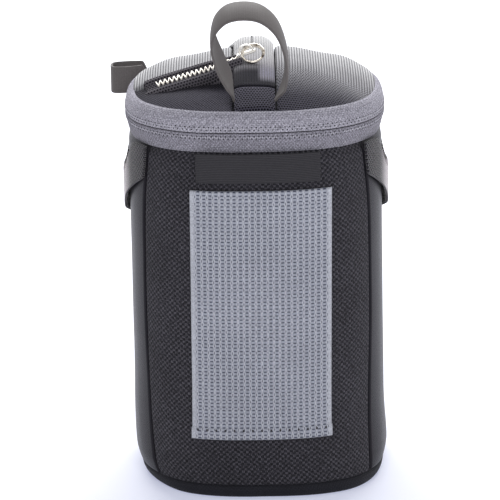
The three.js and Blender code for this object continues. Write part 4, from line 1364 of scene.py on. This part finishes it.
def makeGrabLoop():
    rootX, rootY, rootZ = grabSet["root"]
    shift, height = grabSet["shift"], grabSet["height"]
    line = [(grabSet["halfWidth"] * x - shift, height * up) for x, up in grabSet["line"]]
    line = [(-rootX, 0.0)] + line + [(rootX, 0.0)]
    lean = radians(grabSet["lean"])
    up, wide = Vector((0, -sin(lean), cos(lean))), Vector((0, cos(lean), sin(lean)))
    root = Vector((0, rootY, rootZ))
    middle = root + up * height * grabSet["middle"] + Vector((-shift, 0, 0))

    def place(across, along):
        x, rise = lookUp(line, along)
        share = ramp(rise, 0, grabSet["taper"])
        width = grabSet["rootWidth"] + (grabSet["width"] - grabSet["rootWidth"]) * share
        side = (across - 0.5) * width
        past = (along - grabSet["twistAt"]) / grabSet["twistSpan"]
        twist = grabSet["twist"] * exp(-past ** 2)
        bow = grabSet["bow"] * (1 - (2 * across - 1) ** 2) * share
        point = root + up * rise + wide * side + Vector((x + twist * side, 0, 0))
        away = point - middle
        away -= wide * away.dot(wide)
        return point + away.normalized() * bow

    piece = newPiece("grabLoop", gridMesh(12, 96, place))
    solidify(piece, grabSet["thickness"], 0.0)
    soften(piece, 0.0002)
    dress(piece, "ribbonWeave", "grab_loop", ["grab_loop"])


def makeRimPull():
    def place(across, along):
        out, aside = lookUp(pullSet["line"], along)
        spread = pullSet["width"] - pullSet["pinch"]
        width = pullSet["pinch"] + spread * ramp(out, 0, pullSet["pinchEnd"])
        rise = (across - 0.5) * width - out * pullSet["sag"]
        return Vector(pullSet["anchor"]) + Vector((-out, -aside, rise))

    bm = gridMesh(10, 72, place, closedUp=True)
    bmesh.ops.recalc_face_normals(bm, faces=bm.faces)
    piece = newPiece("rimPull", bm)
    solidify(piece, pullSet["thickness"], 0.0)
    soften(piece, 0.0002)
    dress(piece, "ribbonWeave", "rim_pull", ["rim_pull"])


makeGrabLoop()
makeRimPull()
print("ribbons ready")

# webbing patch with real threads, its hem and stitches, and the bare label
patchSet = {
    "half": 0.0284, "halfLow": 0.0281, "shift": 0.0018, "shiftLow": 0.0007, "low": 0.0262,
    "high": 0.1323, "out": 0.0003, "thickness": 0.0016, "hem": 0.005, "hemOut": 0.0006,
    "edge": 0.0007, "threadWidth": 0.00238, "threadLength": 0.003, "threadHeight": 0.0002,
    "hollow": 0.9, "hollowUp": (-0.26, -0.06), "hollowAcross": (0.18, 0.34),
    "stitches": 15, "stitchPitch": 0.0036, "stitchUp": 0.0042, "stitch": (0.0007, 0.0005, 0.0003),
}
labelSet = {
    "half": 0.0248, "shift": 0.0008, "low": 0.1354, "high": 0.1477, "out": 0.002,
    "edge": 0.0008, "thickness": 0.0007,
}


def frontAngle(distance):
    share = 1 - (distance / pouch["half"]) ** pouch["power"]
    return atan2(pouch["half"] * share ** (1 / pouch["power"]), distance)


def frontPoint(x, height, out):  # straight ahead of x on the front wall
    angle = frontAngle(min(abs(x), pouch["half"] * 0.98))
    return wallPoint(-angle if x >= 0 else -pi + angle, height, out)


def makePatch():
    half, high, low = patchSet["half"], patchSet["high"], patchSet["low"]
    face = patchSet["out"] + patchSet["thickness"] - patchSet["threadHeight"]

    def place(across, up):
        side = across * 2 - 1
        x, height = side * half, low + (high - low) * up
        reach = patchSet["halfLow"] + (half - patchSet["halfLow"]) * up
        shift = patchSet["shiftLow"] + (patchSet["shift"] - patchSet["shiftLow"]) * up
        edge = min((1 - abs(side)) * half, high - height, height - low)
        rung = abs((height - low) / patchSet["threadLength"] * 2 % 1 - 0.5)
        aside = 0.5 - abs((x + half) / patchSet["threadWidth"] % 1 - 0.5)
        hollow = ramp(-rung, *patchSet["hollowUp"]) * ramp(aside, *patchSet["hollowAcross"])
        relief = (1 - patchSet["hollow"] * hollow) * patchSet["threadHeight"]
        out = face + relief - tuck(edge, patchSet["edge"])
        if height < low + patchSet["hem"]:
            out += patchSet["hemOut"]
        return frontPoint(side * reach + shift, height, out)

    piece = newPiece("webbingPatch", gridMesh(136, 290, place, flat=(half * 2, high - low)))
    solidify(piece, patchSet["thickness"] - 0.0004)
    dress(piece, "patchWebbing", "case", ["webbing_patch"])


def makePatchStitches():
    spots = []
    out = patchSet["out"] + patchSet["thickness"] + patchSet["hemOut"]
    for at in range(patchSet["stitches"]):
        x = (at - (patchSet["stitches"] - 1) / 2) * patchSet["stitchPitch"]
        place = frontPoint(x + patchSet["shiftLow"], patchSet["low"] + patchSet["stitchUp"], out)
        spots.append((place, Vector((0, 0, 1)), Vector((place.x * 0.3, -1, 0))))
    stitchRow("patchStitches", spots, patchSet["stitch"], "darkThread", "case")


def makeLabel():
    half, low, high = labelSet["half"], labelSet["low"], labelSet["high"]

    def place(across, up):
        x = (ease(across, 0.7) * 2 - 1) * half
        height = low + (high - low) * ease(up, 0.7)
        dip = tuck(min(half - abs(x), height - low), labelSet["edge"])
        return frontPoint(x + labelSet["shift"], height, labelSet["out"] - dip)

    piece = newPiece("labelTab", gridMesh(64, 16, place))
    solidify(piece, labelSet["thickness"])
    dress(piece, "labelWeave", "case", ["label_tab"])


makePatch()
makePatchStitches()
makeLabel()
print("patch and label ready")

# side wings, belt loop and hinge tape
wingSet = {
    "thickness": 0.0011, "out": 0.0014, "standOff": 0.0017, "ripple": 0.0003, "top": 0.1477,
    "front": 0.0136, "side": 0.0345, "back": 0.046,  # depth below the top at three places
    "dip": 0.0165, "dipFrom": (0.35, 0.9), "binding": 0.0004, "bindingIn": 0.0005,
}
beltSet = {
    "width": 0.04, "thickness": 0.0019, "wall": 0.0013, "low": 0.044, "high": 0.136,
    "off": 0.0062, "foot": (0.0045, 0.009, 0.013, 0.018, 0.033),
    "stitches": 13, "stitchPitch": 0.0029, "stitch": (0.001, 0.0003, 0.00028),
    "stitchOut": 0.0011, "rowsIn": (0.0016, 0.0072),  # two rows of stitches at each end
}
hingeSet = {"half": 0.0225, "low": 0.1505, "height": 0.012, "out": 0.0032, "thickness": 0.0006}


def wingPoint(side, share, up):
    middle, past = sin(share * pi), (share - 0.5) * 2
    step = wingSet["side"] - wingSet["front"] if past < 0 else wingSet["back"] - wingSet["side"]
    high = wingSet["top"] - wingSet["dip"] * ramp(middle, *wingSet["dipFrom"])
    low = wingSet["top"] - wingSet["side"] - step * past
    height = low + (high - low) * up
    out = wingSet["out"] + middle * wingSet["standOff"]
    out += ripple((share * 3, height * 40, side), wingSet["ripple"], 1.0)
    point = wallPoint(seamAngle(height) * past, height, out)
    point.x *= side
    return point


def makeWingBinding(name, side, up):  # rolled along one edge of the wing
    def place(share, around):
        point = wingPoint(side, share, up)
        after, before = min(share + 0.01, 1), max(share - 0.01, 0)
        ahead = wingPoint(side, after, up) - wingPoint(side, before, up)
        out = Vector((point.x, point.y, 0)).normalized()
        lift = ahead.cross(out).normalized()
        size = wingSet["binding"] * (1.0 if 0.01 < share < 0.99 else 0.6)
        skin = out * cos(around * turn) + lift * sin(around * turn)
        return point - out * wingSet["bindingIn"] + skin * size

    bm = gridMesh(60, 8, place, closedUp=True)
    bmesh.ops.holes_fill(bm, edges=[edge for edge in bm.edges if edge.is_boundary], sides=0)
    bmesh.ops.recalc_face_normals(bm, faces=bm.faces)
    dress(newPiece(name, bm), "edgeBinding", "case")


def makeWing(name, node, side):
    def place(across, up):
        return wingPoint(side, across if side > 0 else 1 - across, up)

    piece = newPiece(name, gridMesh(60, 24, place))
    solidify(piece, wingSet["thickness"])
    soften(piece, 0.0003)
    dress(piece, "wingMesh", "case", [node])
    makeWingBinding(name + "LowerBinding", side, 0.0)


def makeBeltLoop():
    wall, low, high = pouch["half"] + beltSet["wall"], beltSet["low"], beltSet["high"]
    reaches = (0, 0, beltSet["off"] * 0.5, beltSet["off"], beltSet["off"])
    line = [(wall, low)] + [(wall + out, low + up) for out, up in zip(reaches, beltSet["foot"])]
    line += [(y, low + high - z) for y, z in line[::-1]]

    def place(across, up):
        y, z = lookUp(line, up)
        return Vector(((0.5 - across) * beltSet["width"], y + 0.001, z))

    piece = newPiece("beltLoop", gridMesh(20, 72, place))
    solidify(piece, beltSet["thickness"])
    soften(piece, 0.0004)
    dress(piece, "beltWebbing", "case", ["belt_loop"])
    spots = []
    near, far = beltSet["rowsIn"]
    for height in (low + near, low + far, high - far, high - near):
        for at in range(beltSet["stitches"]):
            x = (at - (beltSet["stitches"] - 1) / 2) * beltSet["stitchPitch"]
            place = Vector((x, wall + beltSet["stitchOut"], height))
            spots.append((place, Vector((1, 0, 0)), Vector((0, 1, 0))))
    stitchRow("beltLoopStitches", spots, beltSet["stitch"], "darkThread", "case")


def makeHingeTape():
    def place(across, up):
        x = (0.5 - ease(across, 0.5)) * 2 * hingeSet["half"]
        angle = frontAngle(abs(x))
        return planPoint(angle if x >= 0 else pi - angle, pouch["half"] + hingeSet["out"],
                         hingeSet["low"] + hingeSet["height"] * up)

    piece = newPiece("lidHingeTape", gridMesh(40, 24, place))
    solidify(piece, hingeSet["thickness"])
    graph = bpy.context.evaluated_depsgraph_get()
    mesh = bpy.data.meshes.new_from_object(piece.evaluated_get(graph),
                                           preserve_all_data_layers=True, depsgraph=graph)
    piece.modifiers.clear()
    piece.data = mesh
    dress(piece, "hingeTape", None, ["lid_hinge_tape"])
    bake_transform(piece)


makeWing("leftSideLoop", "left_side_loop", -1)
makeWing("rightSideLoop", "right_side_loop", 1)
makeBeltLoop()
makeHingeTape()
print("wings, belt loop and hinge tape ready")
